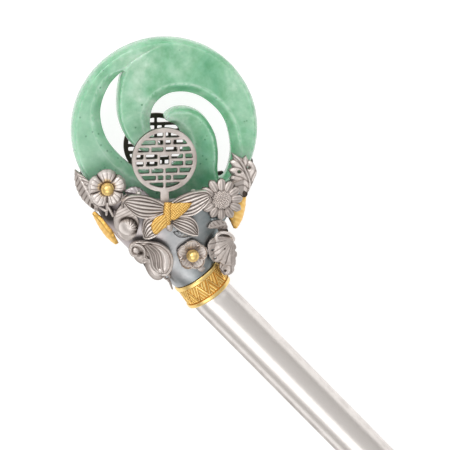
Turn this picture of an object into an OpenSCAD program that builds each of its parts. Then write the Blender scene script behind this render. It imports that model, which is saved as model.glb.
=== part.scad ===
// Silver binyeo hairpin with a carved jade disc in a cup of flowers and leaves.
// Every piece is drawn in the head's own frame: the disc's centre is the origin, x runs to the right
// across the disc, y up through its top and z out of its front. The pin is then laid down as it rests.

/* [Jade disc] */
// Diameter of the disc
disc_d = 40; // [36:0.5:44]
// Thickness of the disc
disc_t = 5; // [4:0.25:6]
// Width of the bevel round the rim
rim_bevel = 0.8; // [0.3:0.1:1.2]
// Depth of the bevels, measured from each face
bevel_depth = 1.2; // [0.6:0.1:1.6]
// Widest bevel along the carved opening
carve_bevel = 2; // [1:0.1:2.2]

/* [Shaft] */
// Diameter of the shaft along its straight stretch
shaft_d = 9.1; // [8:0.1:9.6]
// Length of the straight stretch
shaft_straight = 88; // [60:1:110]
// Length of the tapering end
shaft_taper = 52; // [30:1:70]
// Diameter where the rounded tip starts
tip_d = 5.2; // [4:0.1:7]
// Length of the eased end under the collar
ease_l = 2; // [1.5:0.1:3]
// Depth of that ease
ease_depth = 0.12; // [0.05:0.01:0.2]
// Angle between the shaft and the upright axis of the head
shaft_lean = 43; // [38:1:46]

/* [Collar] */
// Outer diameter of the collar's rims
collar_d = 10.9; // [10.4:0.1:12]
// Height of the collar
collar_h = 5.6; // [4.5:0.1:7]
// Height of each plain rim
rim_h = 0.9; // [0.6:0.1:1.2]
// Depth of the panel below the rims
panel_depth = 0.45; // [0.3:0.05:0.6]
// Number of triangles round the panel
triangles = 12; // [8:1:16]
// Angle between the collar and the upright axis of the head
collar_lean = 34.5; // [31:0.5:37]
// Diameter of the neck inside the collar
neck_d = 8.4; // [7:0.1:9]

/* [Cup] */
// Wall of the cup
cup_wall = 1.1; // [0.8:0.1:1.4]
// Half the depth of the cup at its mouth, front to back
mouth_depth = 6.3; // [5.6:0.1:7]

/* [Roundels] */
// Diameter of a roundel
roundel_d = 14; // [12:0.25:15]
// Thickness of a roundel
roundel_t = 1.2; // [0.8:0.1:1.4]
// Width of its ring
ring_w = 0.95; // [0.7:0.05:1.3]
// Width of its bars
bar_w = 0.56; // [0.45:0.01:0.8]

/* [Ornaments] */
// Diameter of the blossom
blossom_d = 8.4; // [7:0.1:9]
// Diameter of the daisy
daisy_d = 9.6; // [8:0.1:10]
// Diameter of the plum blossom
plum_d = 6.8; // [5.5:0.1:7.4]
// Diameter of the gold beads
gold_bead_d = 2.9; // [2.2:0.1:3.2]
// Span of the butterfly's upper wings
wing_span = 19.6; // [17:0.2:21]
// Thickness of petals, leaves and wings
sheet_t = 0.55; // [0.4:0.05:0.7]
// Diameter of the pegs that carry the ornaments
peg_d = 1.5; // [1:0.1:1.8]
// Least height of an ornament above the cup
stand = 0.9; // [0.5:0.1:1.3]

/* [Fit] */
// Clearance between pieces that seat on each other
gap = 0.15; // [0.1:0.01:0.25]

/* [Hidden] */
$fn = 64;
disc_r = disc_d / 2;
half_t = disc_t / 2;
SIDE_NODES = ["roundel", "butterfly", "butterfly_gold", "blossom", "blossom_bead", "daisy", "plum",
    "plum_bead", "long_leaf", "lobed_leaf", "bud", "shell_leaf", "shell_lobes", "fan_leaf", "fan_lobe",
    "sprig", "bead_left", "bead_right"];

silver = "#b9b2ad";
polished = "#d5cfca";
gold = "#e0b95a";
jade = "#8cc5a0";

// Smooth curve through a row of points, with n steps from each point to the next
function between(a, b, c, d, t) = 0.5 * (2 * b + (c - a) * t + (2 * a - 5 * b + 4 * c - d) * t * t
    + (3 * b - a - 3 * c + d) * t * t * t);
function curve(rows, n) = [for (i = [0 : len(rows) - 2], k = [0 : n - 1])
    between(rows[max(i - 1, 0)], rows[i], rows[i + 1], rows[min(i + 2, len(rows) - 1)], k / n)];
function along(rows, s) = let (last = len(rows) - 1, x = min(s, 0.9999) * last, i = floor(x))
    between(rows[max(i - 1, 0)], rows[i], rows[i + 1], rows[min(i + 2, last)], x - i);
function grid_points(grid) = [for (row = grid, p = row) p];

// Closed skin over rings of equal length, with a flat cap at each end; the rings run anticlockwise
// as they are seen from outside the first cap
module stack(rings) {
    m = len(rings[0]);
    last = (len(rings) - 1) * m;
    polyhedron(points = grid_points(rings), faces = concat(
        [[for (j = [m - 1 : -1 : 0]) j]],
        [for (i = [0 : len(rings) - 2], j = [0 : m - 1]) let (a = i * m + j, b = i * m + (j + 1) % m)
            each [[a, b, b + m], [a, b + m, a + m]]],
        [[for (j = [0 : m - 1]) last + j]]));
}

// Sheet of metal: a grid of points for its upper face, and the same grid lower down for its back
module sheet(grid, thick = sheet_t) {
    n = len(grid);
    m = len(grid[0]);
    top = grid_points(grid);
    back = [for (p = top) p - [0, 0, thick]];
    count = n * m;
    edge = concat([for (j = [0 : m - 2]) j], [for (i = [0 : n - 2]) i * m + m - 1],
        [for (j = [m - 1 : -1 : 1]) (n - 1) * m + j], [for (i = [n - 1 : -1 : 1]) i * m]);
    polyhedron(points = concat(top, back), faces = concat(
        [for (i = [0 : n - 2], j = [0 : m - 2]) let (a = i * m + j, b = a + m)
            each [[a, a + 1, b + 1], [a, b + 1, b]]],
        [for (i = [0 : n - 2], j = [0 : m - 2]) let (a = count + i * m + j, b = a + m)
            each [[a, b + 1, a + 1], [a, b, b + 1]]],
        [for (k = [0 : len(edge) - 1]) let (a = edge[k], b = edge[(k + 1) % len(edge)])
            each [[a, b + count, b], [a, a + count, b + count]]]));
}

// Outline of the carved opening, as shares of the disc's radius, with the width of its bevel as a
// share of the widest one: the ring's side, the frond's outer side, the ring again, and the arm
RING_SIDE = [[-0.45, 0.66, 0.3], [-0.57, 0.55, 0.9], [-0.65, 0.41, 1], [-0.69, 0.27, 1], [-0.69, 0.14, 1],
    [-0.66, 0.01, 1], [-0.6, -0.12, 1], [-0.51, -0.24, 1], [-0.4, -0.35, 1], [-0.28, -0.43, 1],
    [-0.15, -0.455, 1], [-0.02, -0.44, 1], [0.1, -0.38, 1], [0.18, -0.29, 1], [0.21, -0.19, 1],
    [0.2, -0.1, 1], [0.16, 0, 0.8], [0.1, 0.07, 0.5]];
FROND_SIDE = [[0.03, 0.1, 0.15], [0, 0.13, 0.1], [0.02, 0.18, 0.15], [0.09, 0.225, 0.3],
    [0.18, 0.24, 0.4], [0.27, 0.23, 0.4], [0.36, 0.19, 0.4], [0.44, 0.12, 0.4], [0.5, 0.03, 0.4],
    [0.545, -0.07, 0.4], [0.57, -0.19, 0.4], [0.575, -0.31, 0.4], [0.57, -0.44, 0.4]];
OUTER_SIDE = [[0.585, -0.54, 0.3], [0.64, -0.53, 0.4], [0.68, -0.46, 0.8], [0.71, -0.35, 1],
    [0.72, -0.23, 1], [0.705, -0.1, 1], [0.67, 0.04, 1], [0.6, 0.17, 1], [0.5, 0.28, 1], [0.38, 0.365, 1],
    [0.26, 0.41, 1], [0.14, 0.42, 1], [0.03, 0.4, 1], [-0.06, 0.345, 1], [-0.125, 0.265, 1],
    [-0.155, 0.16, 1], [-0.155, 0.05, 0.8], [-0.12, -0.06, 0.5], [-0.06, -0.15, 0.2]];
ARM_SIDE = [[0.01, -0.215, 0.1], [-0.05, -0.25, 0.15], [-0.16, -0.245, 0.25], [-0.26, -0.21, 0.3],
    [-0.355, -0.14, 0.3], [-0.43, -0.04, 0.3], [-0.48, 0.08, 0.3], [-0.505, 0.2, 0.3], [-0.51, 0.33, 0.3],
    [-0.5, 0.46, 0.3], [-0.48, 0.57, 0.3]];
opening = curve(concat(RING_SIDE, FROND_SIDE, OUTER_SIDE, ARM_SIDE, [RING_SIDE[0]]), 2);

// The opening at a share w of its bevels, pushed outward along its own normals
function opening_ring(w, z) = let (m = len(opening)) [for (i = [0 : m - 1])
    let (p = opening[i], q = opening[(i + 1) % m] - opening[(i + m - 1) % m], l = norm([q[0], q[1]]),
        out = w * p[2] * carve_bevel)
    [p[0] * disc_r + q[1] / l * out, p[1] * disc_r - q[0] / l * out, z]];

module jade_disc() laid() color(jade) difference() {
    over = disc_t / 5;
    rotate_extrude($fn = 120) polygon([[0, -half_t], [disc_r - rim_bevel, -half_t], [disc_r, bevel_depth - half_t],
        [disc_r, half_t - bevel_depth], [disc_r - rim_bevel, half_t], [0, half_t]]);
    stack([opening_ring(1, half_t + over), opening_ring(1, half_t), opening_ring(0, half_t - bevel_depth),
        opening_ring(0, bevel_depth - half_t), opening_ring(1, -half_t), opening_ring(1, -half_t - over)]);
}

// Sections of the cup from its mouth to the collar, as shares of the disc's radius, of the mouth's
// depth and of the collar's lean: middle x and y, half its width, half its depth, lean, and power of
// its outline (2 is an ellipse, more is squarer)
CUP = [[0, -0.715, 0.915, 1, 0, 3.6], [0.03, -0.78, 0.81, 1.04, 0.08, 3.4],
    [0.055, -0.91, 0.71, 1.06, 0.2, 3.2], [0.1, -1.07, 0.6, 1.06, 0.36, 3],
    [0.16, -1.25, 0.475, 0.95, 0.56, 2.8], [0.24, -1.43, 0.355, 0.87, 0.8, 2.4],
    [0.33, -1.6, 0.26, 0.83, 1, 2]];
lip_rise = 0.18 * disc_r;
cup_floor = -disc_r - gap;
floor_share = 0.42;
cup_sides = 48;
neck_root = 0.25 * neck_d;
function cup_section(s) = let (e = along(CUP, s)) [e[0] * disc_r, e[1] * disc_r, e[2] * disc_r,
    e[3] * mouth_depth, e[4] * collar_lean, e[5]];
function power(x, p) = sign(x) * pow(abs(x), p);
function lip(x, s) = lip_rise * x * x * pow(max(0, 1 - 3 * s), 1.5);
function cup_ring(s) = let (e = cup_section(s)) [for (j = [0 : cup_sides - 1])
    let (a = -360 * j / cup_sides, x = power(cos(a), 2 / e[5]), z = power(sin(a), 2 / e[5]))
    [e[0] + e[2] * x * cos(e[4]), e[1] + e[2] * x * sin(e[4]) + lip(x, s), e[3] * z]];

// Ring of the hollow, t of the way from the lip to the floor, level but for the lip's own rise
function hollow_ring(t, inset = 1, lift = 0) = let (e = cup_section(t * floor_share), k = 1 - 0.5 * pow(t, 4),
    y = CUP[0][1] * disc_r * (1 - t) + cup_floor * t + lift)
    [for (j = [0 : cup_sides - 1])
    let (a = -360 * j / cup_sides, x = power(cos(a), 2 / e[5]), z = power(sin(a), 2 / e[5]))
    [e[0] + (e[2] - cup_wall * inset) * x * k, y + lip(x, t * floor_share), (e[3] - cup_wall * inset) * z * k]];

// Height of the cup's front at a place on it, found between its sections
function fall(x, y, s) = let (e = cup_section(s)) (x - e[0]) * sin(e[4]) - (y - e[1]) * cos(e[4]);
function section_at(x, y, low = 0, high = 1, n = 14) = n == 0 ? (low + high) / 2
    : let (mid = (low + high) / 2) fall(x, y, mid) > 0 ? section_at(x, y, mid, high, n - 1)
    : section_at(x, y, low, mid, n - 1);
function cup_front(x, y, limit) = let (e = cup_section(section_at(x, y)),
    across = ((x - e[0]) * cos(e[4]) + (y - e[1]) * sin(e[4])) / e[2])
    e[3] * pow(max(0, 1 - pow(min(limit, abs(across)), e[5])), 1 / e[5]);

// Something drawn along z is set at a point of the disc's plane, pointing down and leaning to the right
module down_from(at, lean) translate(at) rotate([0, 0, lean]) rotate([90, 0, 0]) children();
function step_down(at, lean, by) = at + by * [sin(lean), -cos(lean), 0];

neck_top = [cup_section(1)[0], cup_section(1)[1], 0];
collar_top = step_down(neck_top, collar_lean, gap);
collar_foot = step_down(collar_top, collar_lean, collar_h);
shaft_top = step_down(collar_foot, collar_lean, gap);
shaft_end = step_down(shaft_top, shaft_lean, shaft_straight + shaft_taper);
tip_round = 0.35 * tip_d;

module cup() laid() color(silver) union() {
    stack(concat([for (k = [6 : -1 : 0]) hollow_ring(k / 6)], [hollow_ring(0, 0.5, cup_wall / 3)],
        [for (k = [0 : 10]) cup_ring(k / 10)]));
    down_from(neck_top, collar_lean) translate([0, 0, -neck_root]) cylinder(d = neck_d, h = neck_root + gap + collar_h);
}

module collar() laid() color(gold) down_from(collar_top, collar_lean) {
    r = collar_d / 2;
    panel_r = r - panel_depth;
    soft = rim_h / 4;
    rotate_extrude($fn = 96) polygon([[neck_d / 2 + gap, 0], [r - soft, 0], [r, soft], [r, rim_h - soft],
        [r - soft, rim_h], [panel_r, rim_h], [panel_r, collar_h - rim_h], [r - soft, collar_h - rim_h],
        [r, collar_h - rim_h + soft], [r, collar_h - soft], [r - soft, collar_h], [neck_d / 2 + gap, collar_h]]);
    low = rim_h * 1.35;
    tall = collar_h - 2 * low;
    wide = 360 / triangles * panel_r * PI / 180;
    intersection() {
        rotate_extrude($fn = 96) translate([panel_r - panel_depth, 0]) square([1.6 * panel_depth, collar_h]);
        for (k = [0 : triangles - 1]) rotate([0, 0, 360 * k / triangles]) rotate([90, 0, 90])
            translate([0, low, 0]) linear_extrude(collar_d)
            polygon([[-wide * 0.42, 0], [wide * 0.42, 0], [0, tall]]);
    }
}

module shaft() laid() color(polished) difference() {
    r = shaft_d / 2;
    end = shaft_straight + shaft_taper;
    miter = r * tan(shaft_lean - collar_lean);
    down_from(shaft_top, shaft_lean) rotate_extrude($fn = 96) polygon(concat(
        [[0, -miter], [r - ease_depth, -miter], [r - ease_depth, miter], [r, ease_l], [r, shaft_straight]],
        [for (a = [0 : 15 : 90]) [tip_d / 2 * cos(a), end - tip_round * (1 - sin(a))]]));
    down_from(shaft_top, collar_lean) translate([-shaft_d, -shaft_d, -2 * shaft_d]) cube(2 * shaft_d);
}

// Round window of bars: an upright bar with a square in its middle, level bars a pitch apart that run to
// the ring, and short uprights that tie them
ROUNDEL = [-0.045, -0.252] * disc_r;
stalk_l = 0.518 * disc_r;
stalk_w = 1.9;
stalk_foot = 1.5;
roundel_z = gap + max([for (k = [0 : 6]) cup_front(ROUNDEL[0], ROUNDEL[1] - stalk_l + k * stalk_foot / 6, 1)]);
module roundel() color(silver) translate([ROUNDEL[0], ROUNDEL[1], roundel_z]) linear_extrude(roundel_t) {
    r = roundel_d / 2;
    inner = r - ring_w;
    pitch = 0.255 * inner;
    difference() {
        circle(r, $fn = 96);
        circle(inner, $fn = 96);
    }
    intersection() {
        circle(r - ring_w / 2, $fn = 96);
        union() {
            for (k = [1 : 3], side = [-1, 1]) translate([0, side * k * pitch])
                square([2 * r, bar_w], center = true);
            for (side = [-1, 1]) {
                translate([0, side * (0.2 * inner + r / 2)]) square([bar_w, r], center = true);
                translate([side * 0.6 * inner, 0]) square([0.8 * inner, bar_w], center = true);
                translate([side * 0.7 * inner, 0]) square([bar_w, 2 * pitch], center = true);
                for (level = [-1.5, 1.5]) translate([side * 0.5 * inner, level * pitch])
                    square([bar_w, pitch], center = true);
                for (level = [-2.5, 2.5]) translate([side * 0.27 * inner, level * pitch])
                    square([bar_w, pitch], center = true);
            }
            difference() {
                square(0.5 * inner, center = true);
                square(0.5 * inner - 2 * bar_w, center = true);
            }
        }
    }
    translate([-stalk_w / 2, -stalk_l]) square([stalk_w, stalk_l - r + ring_w / 2]);
}

// What an ornament lies on, seen from the front: the cup, or the collar below it
function collar_front(x, y) = let (p = [x, y] - [collar_top[0], collar_top[1]],
    down = p[0] * sin(collar_lean) - p[1] * cos(collar_lean),
    across = p[0] * cos(collar_lean) + p[1] * sin(collar_lean))
    down < -1 || down > collar_h + 1 ? 0 : sqrt(max(0, pow(collar_d / 2, 2) - across * across));
function above_lip(x, y) = y > CUP[0][1] * disc_r + lip(x / (CUP[0][2] * disc_r), 0) + 2 * sheet_t;
function under(x, y) = max(above_lip(x, y) ? 0 : cup_front(x, y, 1), collar_front(x, y));

// Upper face of an ornament at a place: it keeps its own form over the point where its peg stands,
// sinks with the cup by its share of follow, and stays clear of the cup. Row of place: peg x and y,
// height over the cup, share of follow, slope along x and along y
function face(x, y, place, own) = let (px = place[0] * disc_r, py = place[1] * disc_r)
    max(under(x, y) + 2 * gap + sheet_t, cup_front(px, py, bend_limit) + gap + place[2] + own
        + place[3] * (cup_front(x, y, bend_limit) - cup_front(px, py, bend_limit))
        + place[4] * (x - px) + place[5] * (y - py));
bend_limit = 0.86;

module peg(place, d = peg_d) {
    x = place[0] * disc_r;
    y = place[1] * disc_r;
    foot = gap + max([for (p = [[0, 0], [1, 0], [-1, 0], [0, 1], [0, -1]]) under(x + p[0] * d / 2, y + p[1] * d / 2)]);
    translate([x, y, foot]) cylinder(d = d, h = face(x, y, place, 0) - sheet_t / 2 - foot, $fn = 24);
}

// Leaf, petal or wing: it runs from its root at an angle, its outline is a table of rows [low edge,
// high edge] as shares of its width, and height(s, t) lifts its face, with s along it and t across it
module blade(place, root, angle, length, width, outline, height, rows = 10, cols = 6, thick = sheet_t)
    sheet([for (i = [0 : rows]) let (s = i / rows, e = along(outline, s) * width)
        [for (j = [0 : cols]) let (t = j / cols, w = e[0] + (e[1] - e[0]) * t,
            x = place[0] * disc_r + root[0] + s * length * cos(angle) - w * sin(angle),
            y = place[1] * disc_r + root[1] + s * length * sin(angle) + w * cos(angle))
            [x, y, face(x, y, place, height(s, t))]]], thick);

// Flower: reach(a) is its outline and height(r, a) lifts its face, with r from its middle to the
// outline and a the angle round it; a full one has a flat back
module rosette(place, reach, height, count, rings = 3, thick = sheet_t, full = false) {
    px = place[0] * disc_r;
    py = place[1] * disc_r;
    top = [for (k = [1 : rings], j = [0 : count - 1]) let (a = 360 * j / count, r = k / rings,
        x = px + r * reach(a) * cos(a), y = py + r * reach(a) * sin(a))
        [x, y, face(x, y, place, height(r, a))]];
    rim = [for (j = [0 : count - 1]) top[(rings - 1) * count + j] - [0, 0, thick]];
    middle = face(px, py, place, height(0, 0));
    last = (rings + 1) * count;
    polyhedron(points = concat(top, rim, [[px, py, middle], [px, py, (full ? face(px, py, place, 0) : middle) - thick]]),
        faces = concat(
            [for (j = [0 : count - 1]) [last, (j + 1) % count, j]],
            [for (k = [0 : rings - 1], j = [0 : count - 1])
                let (a = k * count + j, b = k * count + (j + 1) % count)
                each [[a, b, b + count], [a, b + count, a + count]]],
            [for (j = [0 : count - 1]) [last + 1, rings * count + j, rings * count + (j + 1) % count]]));
}

// Gold bead with a flat seat in the middle of a flower
bead_flat = 0.2;
module gold_bead(place, d) color(gold) {
    x = place[0] * disc_r;
    y = place[1] * disc_r;
    translate([x, y, face(x, y, place, 0) + 2 * gap + d * bead_flat]) difference() {
        sphere(d = d, $fn = 48);
        translate([-d, -d, -2 * d - d * bead_flat]) cube(2 * d);
    }
}

// Blossom of five fluted lobes
BLOSSOM = [-0.66, -0.55, stand + 0.1, 0, -0.05, 0.05];
module blossom() color(silver) union() {
    rosette(BLOSSOM, function(a) blossom_d / 2 * (0.94 + 0.05 * cos(5 * a - 20) + 0.02 * cos(20 * a)),
        function(r, a) r < 0.35 ? 0 : 0.8 * sin(150 * (r - 0.25)) + 0.13 * cos(20 * a) * r, 60);
    peg([BLOSSOM[0] + 0.02, BLOSSOM[1] - 0.12, BLOSSOM[2], 0, 0, 0]);
}
module blossom_bead() gold_bead(BLOSSOM, gold_bead_d);

// Daisy with pointed petals and a raised round middle
DAISY = [0.57, -0.71, 1.43 * stand, 0.15, 0, 0];
daisy_petals = 12;
function moved(place, shift) = [place[0] + shift[0], place[1] + shift[1], place[2], place[3], place[4], place[5]];
module daisy(shift = [0, 0]) color(silver) {
    place = moved(DAISY, shift);
    x = place[0] * disc_r;
    y = place[1] * disc_r;
    union() {
        rosette(place, function(a) daisy_d / 2 * (0.74 + 0.26 * pow(abs(cos(daisy_petals * a / 2)), 0.6)),
            function(r, a) 0.3 * sin(180 * r) + 0.25 * abs(cos(daisy_petals * a / 2)) * r - 0.3 * r * r,
            daisy_petals * 6);
        translate([x, y, face(x, y, place, 0)]) rotate_extrude($fn = 48) polygon(concat([[0, -0.3],
            [daisy_d * 0.235, -0.3]], [for (a = [0 : 15 : 90])
            [daisy_d * 0.235 * cos(a), daisy_d * 0.11 * sin(a)]]));
        peg(place);
    }
}

// Plum blossom with five cupped petals
PLUM = [0.09 + 0.5 * plum_d / disc_r, -1.32, 0.6 * stand, 0.2, 0, 0];
module plum() color(silver) union() {
    rosette(PLUM, function(a) plum_d / 2 * (0.76 + 0.24 * pow(abs(cos(2.5 * (a - 18))), 0.6)),
        function(r, a) r < 0.35 ? 0 : 1.1 * pow(r - 0.3, 1.6) * (0.5 + abs(cos(2.5 * (a - 18)))), 40);
    peg(PLUM);
}
module plum_bead() gold_bead(PLUM, gold_bead_d * 0.96);

// Butterfly: each wing is a row of root x and y, angle, length and width as shares of the span
BUTTERFLY_AT = [-0.01, -0.86];
butterfly_z = roundel_z + roundel_t + gap + sheet_t + 0.1;
BUTTERFLY = [BUTTERFLY_AT[0], BUTTERFLY_AT[1], butterfly_z - gap
    - cup_front(BUTTERFLY_AT[0] * disc_r, BUTTERFLY_AT[1] * disc_r, bend_limit), 0, 0, 0];
WINGS = [[-0.02, 0.09, 174, 0.5, 0.25], [0.03, 0.08, 17, 0.455, 0.235],
    [-0.02, 0.03, -131, 0.35, 0.23], [0.03, 0.03, -38, 0.37, 0.21]];
WING_EDGE = [[-0.12, 0.12], [-0.36, 0.3], [-0.48, 0.44], [-0.5, 0.5], [-0.46, 0.5], [-0.2, 0.26]];
body_l = 0.31 * wing_span;
body_r = 0.035 * wing_span;
body_z = 0.38;
panel_t = 0.35;
panel_l = 0.62;
panel_w = 0.75;
panel_turn = -10;
panel_z = 0.65 + panel_t;
panel_camber = 0.12;
module butterfly() color(silver) union() {
    for (w = WINGS) blade(BUTTERFLY, [w[0], w[1]] * wing_span, w[2], w[3] * wing_span, w[4] * wing_span,
        WING_EDGE, function(s, t) 0.2 * sin(180 * t) + 0.35 * sin(150 * s) + 0.07 * cos(1080 * t) * s - 0.1,
        7, 6);
    translate([BUTTERFLY[0] * disc_r, BUTTERFLY[1] * disc_r + 0.05 * wing_span, butterfly_z - sheet_t])
        cylinder(d = 0.15 * wing_span, h = sheet_t, $fn = 32);
    peg(BUTTERFLY);
}

// Gilded body, with the panels that lie over the root of one upper and one lower wing
module butterfly_gold() color(gold) union() {
    translate([BUTTERFLY[0] * disc_r, BUTTERFLY[1] * disc_r, butterfly_z]) difference() {
        translate([0, 0.13 * wing_span, body_z]) rotate([90, 0, 0]) rotate_extrude($fn = 24)
            polygon([for (a = [0 : 15 : 180]) [body_r * pow(sin(a), 0.6), body_l * (1 - cos(a)) / 2]]);
        translate([-body_l, -body_l, 0.2 + gap - body_l]) cube([2 * body_l, 2 * body_l, body_l]);
    }
    for (w = [WINGS[1], WINGS[2]]) blade(BUTTERFLY, [w[0] * 0.3, w[1]] * wing_span, w[2] + panel_turn,
        panel_l * w[3] * wing_span, panel_w * w[4] * wing_span, WING_EDGE,
        function(s, t) panel_z + panel_camber * sin(180 * t), 6, 4, panel_t);
}

// Leaves. Each has a raised midrib or ribs, and its root lies behind its peg by a share of its length
LEAF_EDGE = [[-0.08, 0.08], [-0.34, 0.34], [-0.48, 0.48], [-0.46, 0.46], [-0.3, 0.3], [-0.04, 0.04]];
LOBED_EDGE = [[-0.1, 0.1], [-0.38, 0.28], [-0.5, 0.36], [-0.54, 0.4], [-0.5, 0.46], [-0.44, 0.3],
    [-0.46, 0.36], [-0.2, 0.14], [-0.04, 0.06]];
FAN_EDGE = [[-0.2, 0.2], [-0.42, 0.4], [-0.5, 0.5], [-0.48, 0.5], [-0.4, 0.42], [-0.12, 0.14]];
SHELL_EDGE = [[-0.12, 0.14], [-0.34, 0.4], [-0.42, 0.54], [-0.42, 0.6], [-0.38, 0.56], [-0.14, 0.3]];
module leaf(place, angle, length, width, edge = LEAF_EDGE, back = 0.12, camber = 0.4, bow = 0.4,
    ribs = 0, rows = 8, cols = 6)
    blade(place, -back * length * [cos(angle), sin(angle)], angle, length, width, edge,
        function(s, t) camber * (sin(180 * t) - 1) + bow * (sin(180 * s) - sin(180 * back))
            + (ribs == 0 ? 0.16 * max(0, 1 - abs(t - 0.5) * 8) : 0.1 * cos(360 * ribs * t)), rows, cols);

LONG_LEAF = [-0.79, -0.75, 0.9 * stand, 0.5, 0.75, 0.05];
long_leaf_l = 0.48 * disc_r;
module long_leaf(shift = [0, 0]) color(silver) union() {
    leaf(moved(LONG_LEAF, shift), 117, long_leaf_l, 0.36 * long_leaf_l, back = 0.15);
    peg(moved(LONG_LEAF, shift));
}

LOBED_LEAF = [0.83, -0.68, 0.2 * stand, 0, 0.26, 0.03];
lobed_leaf_l = 0.5 * disc_r;
module lobed_leaf(shift = [0, 0], turn = 106) color(silver) union() {
    leaf(moved(LOBED_LEAF, shift), turn, lobed_leaf_l, 0.66 * lobed_leaf_l, LOBED_EDGE, rows = 14);
    peg(moved(LOBED_LEAF, shift));
}

// Closed bud on a broad leaf
BUD = [-0.45, -0.98, 0.8 * stand, 1, 0, 0];
bud_d = 0.25 * disc_r;
module bud() color(silver) union() {
    leaf(BUD, -70, 1.8 * bud_d, 1.05 * bud_d, back = 0.5, bow = 0.2);
    rosette([BUD[0], BUD[1], BUD[2], 0.8, 0, 0], function(a) bud_d / 2 * (0.9 + 0.1 * cos(8 * a)),
        function(r, a) 0.36 * bud_d * sqrt(max(0, 1 - r * r)) + 0.04 * (1 + cos(8 * a)) * r, 32,
        thick = 1.2 * sheet_t, full = true);
    peg(BUD);
}

// Ribbed shell leaf with a scroll at its root
SHELL_LEAF = [-0.2, -1.31, 2.1 * stand, 0.8, 0, 0];
shell_l = 0.47 * disc_r;
shell_w = 0.3 * disc_r;
shell_reach = 0.32 * disc_r;
scroll_r = 0.19 * shell_w;
module shell_leaf() color(silver) {
    x = SHELL_LEAF[0] * disc_r - 0.3 * shell_w;
    y = SHELL_LEAF[1] * disc_r + 0.22 * shell_w;
    union() {
        leaf(SHELL_LEAF, -35, shell_l, shell_w, SHELL_EDGE, back = 1 - shell_reach / shell_l, ribs = 4, rows = 8, cols = 8);
        translate([x, y, face(x, y, SHELL_LEAF, 0)]) rotate([0, 0, -80])
            rotate_extrude(angle = 300, $fn = 36) translate([scroll_r, 0]) circle(d = 0.8 * scroll_r, $fn = 16);
        peg(SHELL_LEAF);
    }
}

SHELL_LOBES = [-0.05, -1.43, 0.5 * stand, 0.8, 0, 0.05];
lobes_l = 0.31 * disc_r;
lobes_turn = -132;
module shell_lobes() color(silver) union() {
    leaf(SHELL_LOBES, lobes_turn, lobes_l, lobes_l, FAN_EDGE, camber = 0.6, bow = 0.2, ribs = 4, rows = 7, cols = 8);
    peg(SHELL_LOBES);
}

FAN_LEAF = [0.62, -1.28, 2.2 * stand, 0.7, 0, 0];
fan_l = 0.35 * disc_r;
module fan_leaf() color(silver) union() {
    leaf(FAN_LEAF, -115, fan_l, 0.86 * fan_l, FAN_EDGE, back = 0.26, bow = 0.15, ribs = 5, rows = 8,
        cols = 10);
    peg(FAN_LEAF);
}

FAN_LOBE = [0.65, -1.43, 0.3 * stand, 0.6, 0, 0.05];
fan_lobe_l = 0.28 * disc_r;
module fan_lobe() color(silver) union() {
    leaf(FAN_LOBE, -70, fan_lobe_l, 0.75 * fan_lobe_l, FAN_EDGE, back = 0.2, bow = 0.2, ribs = 3, rows = 7, cols = 6);
    peg(FAN_LOBE);
}

// Small leaf with a tendril that curls over
SPRIG = [0.57, -1.07, 1.3 * stand, 0.8, 0, 0];
sprig_l = 0.28 * disc_r;
tendril_r = 0.24 * sprig_l;
module sprig() color(silver) {
    x = SPRIG[0] * disc_r + 0.22 * sprig_l;
    y = SPRIG[1] * disc_r - 0.6 * tendril_r;
    union() {
        leaf(SPRIG, 168, sprig_l, 0.4 * sprig_l, back = 0.2, camber = 0.3, bow = 0.3);
        translate([x, y, face(x, y, SPRIG, -0.25)]) rotate([0, 0, -60])
            rotate_extrude(angle = 230, $fn = 36) translate([tendril_r, 0]) circle(d = 0.6 * tendril_r, $fn = 16);
        peg(SPRIG, 1);
    }
}

// Small silver beads on short stems at the cup's lip
bead_d = 1.25;
module bead(place) color(silver) {
    x = place[0] * disc_r;
    y = place[1] * disc_r;
    stem_r = bead_d * 0.3;
    z = gap + stem_r + max([for (k = [0 : 4], side = [-1, 1]) under(x + side * stem_r, y - k * bead_d / 2)]);
    translate([x, y, z]) union() {
        sphere(d = bead_d, $fn = 24);
        rotate([90, 0, 0]) cylinder(r = stem_r, h = 2 * bead_d, $fn = 24);
    }
}
module bead_left() bead([-0.32, -0.62]);
module bead_right() bead([0.27, -0.62]);

// Gold leaves on the cup's left and right edges, arched outward: row of start x and y, end x and y, camber,
// and width as a share of the length
EDGE_LEAVES = [[-0.785, -0.905, -0.535, -1.265, 0.05, 0.55], [0.895, -0.755, 0.795, -1.13, 0.13, 0.85]];
module edge_leaf(row, side) color(gold) {
    run = [row[2] - row[0], row[3] - row[1]] * disc_r;
    l = norm(run);
    translate([row[0], row[1], 0] * disc_r) rotate([0, 0, atan2(run[1], run[0])]) rotate([-side * 90, 0, 0])
        sheet([for (i = [0 : 9]) let (s = i / 9, e = along(LEAF_EDGE, s) * row[5] * l)
            [for (j = [0 : 6]) let (t = j / 6) [s * l, e[0] + (e[1] - e[0]) * t,
                disc_r * (row[4] * (sin(180 * t) - 1) * sin(180 * s) + 0.025 * sin(180 * s))]]]);
}
module gold_leaf_left() laid() edge_leaf(EDGE_LEAVES[0], -1);
module gold_leaf_right() laid() edge_leaf(EDGE_LEAVES[1], 1);

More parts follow.
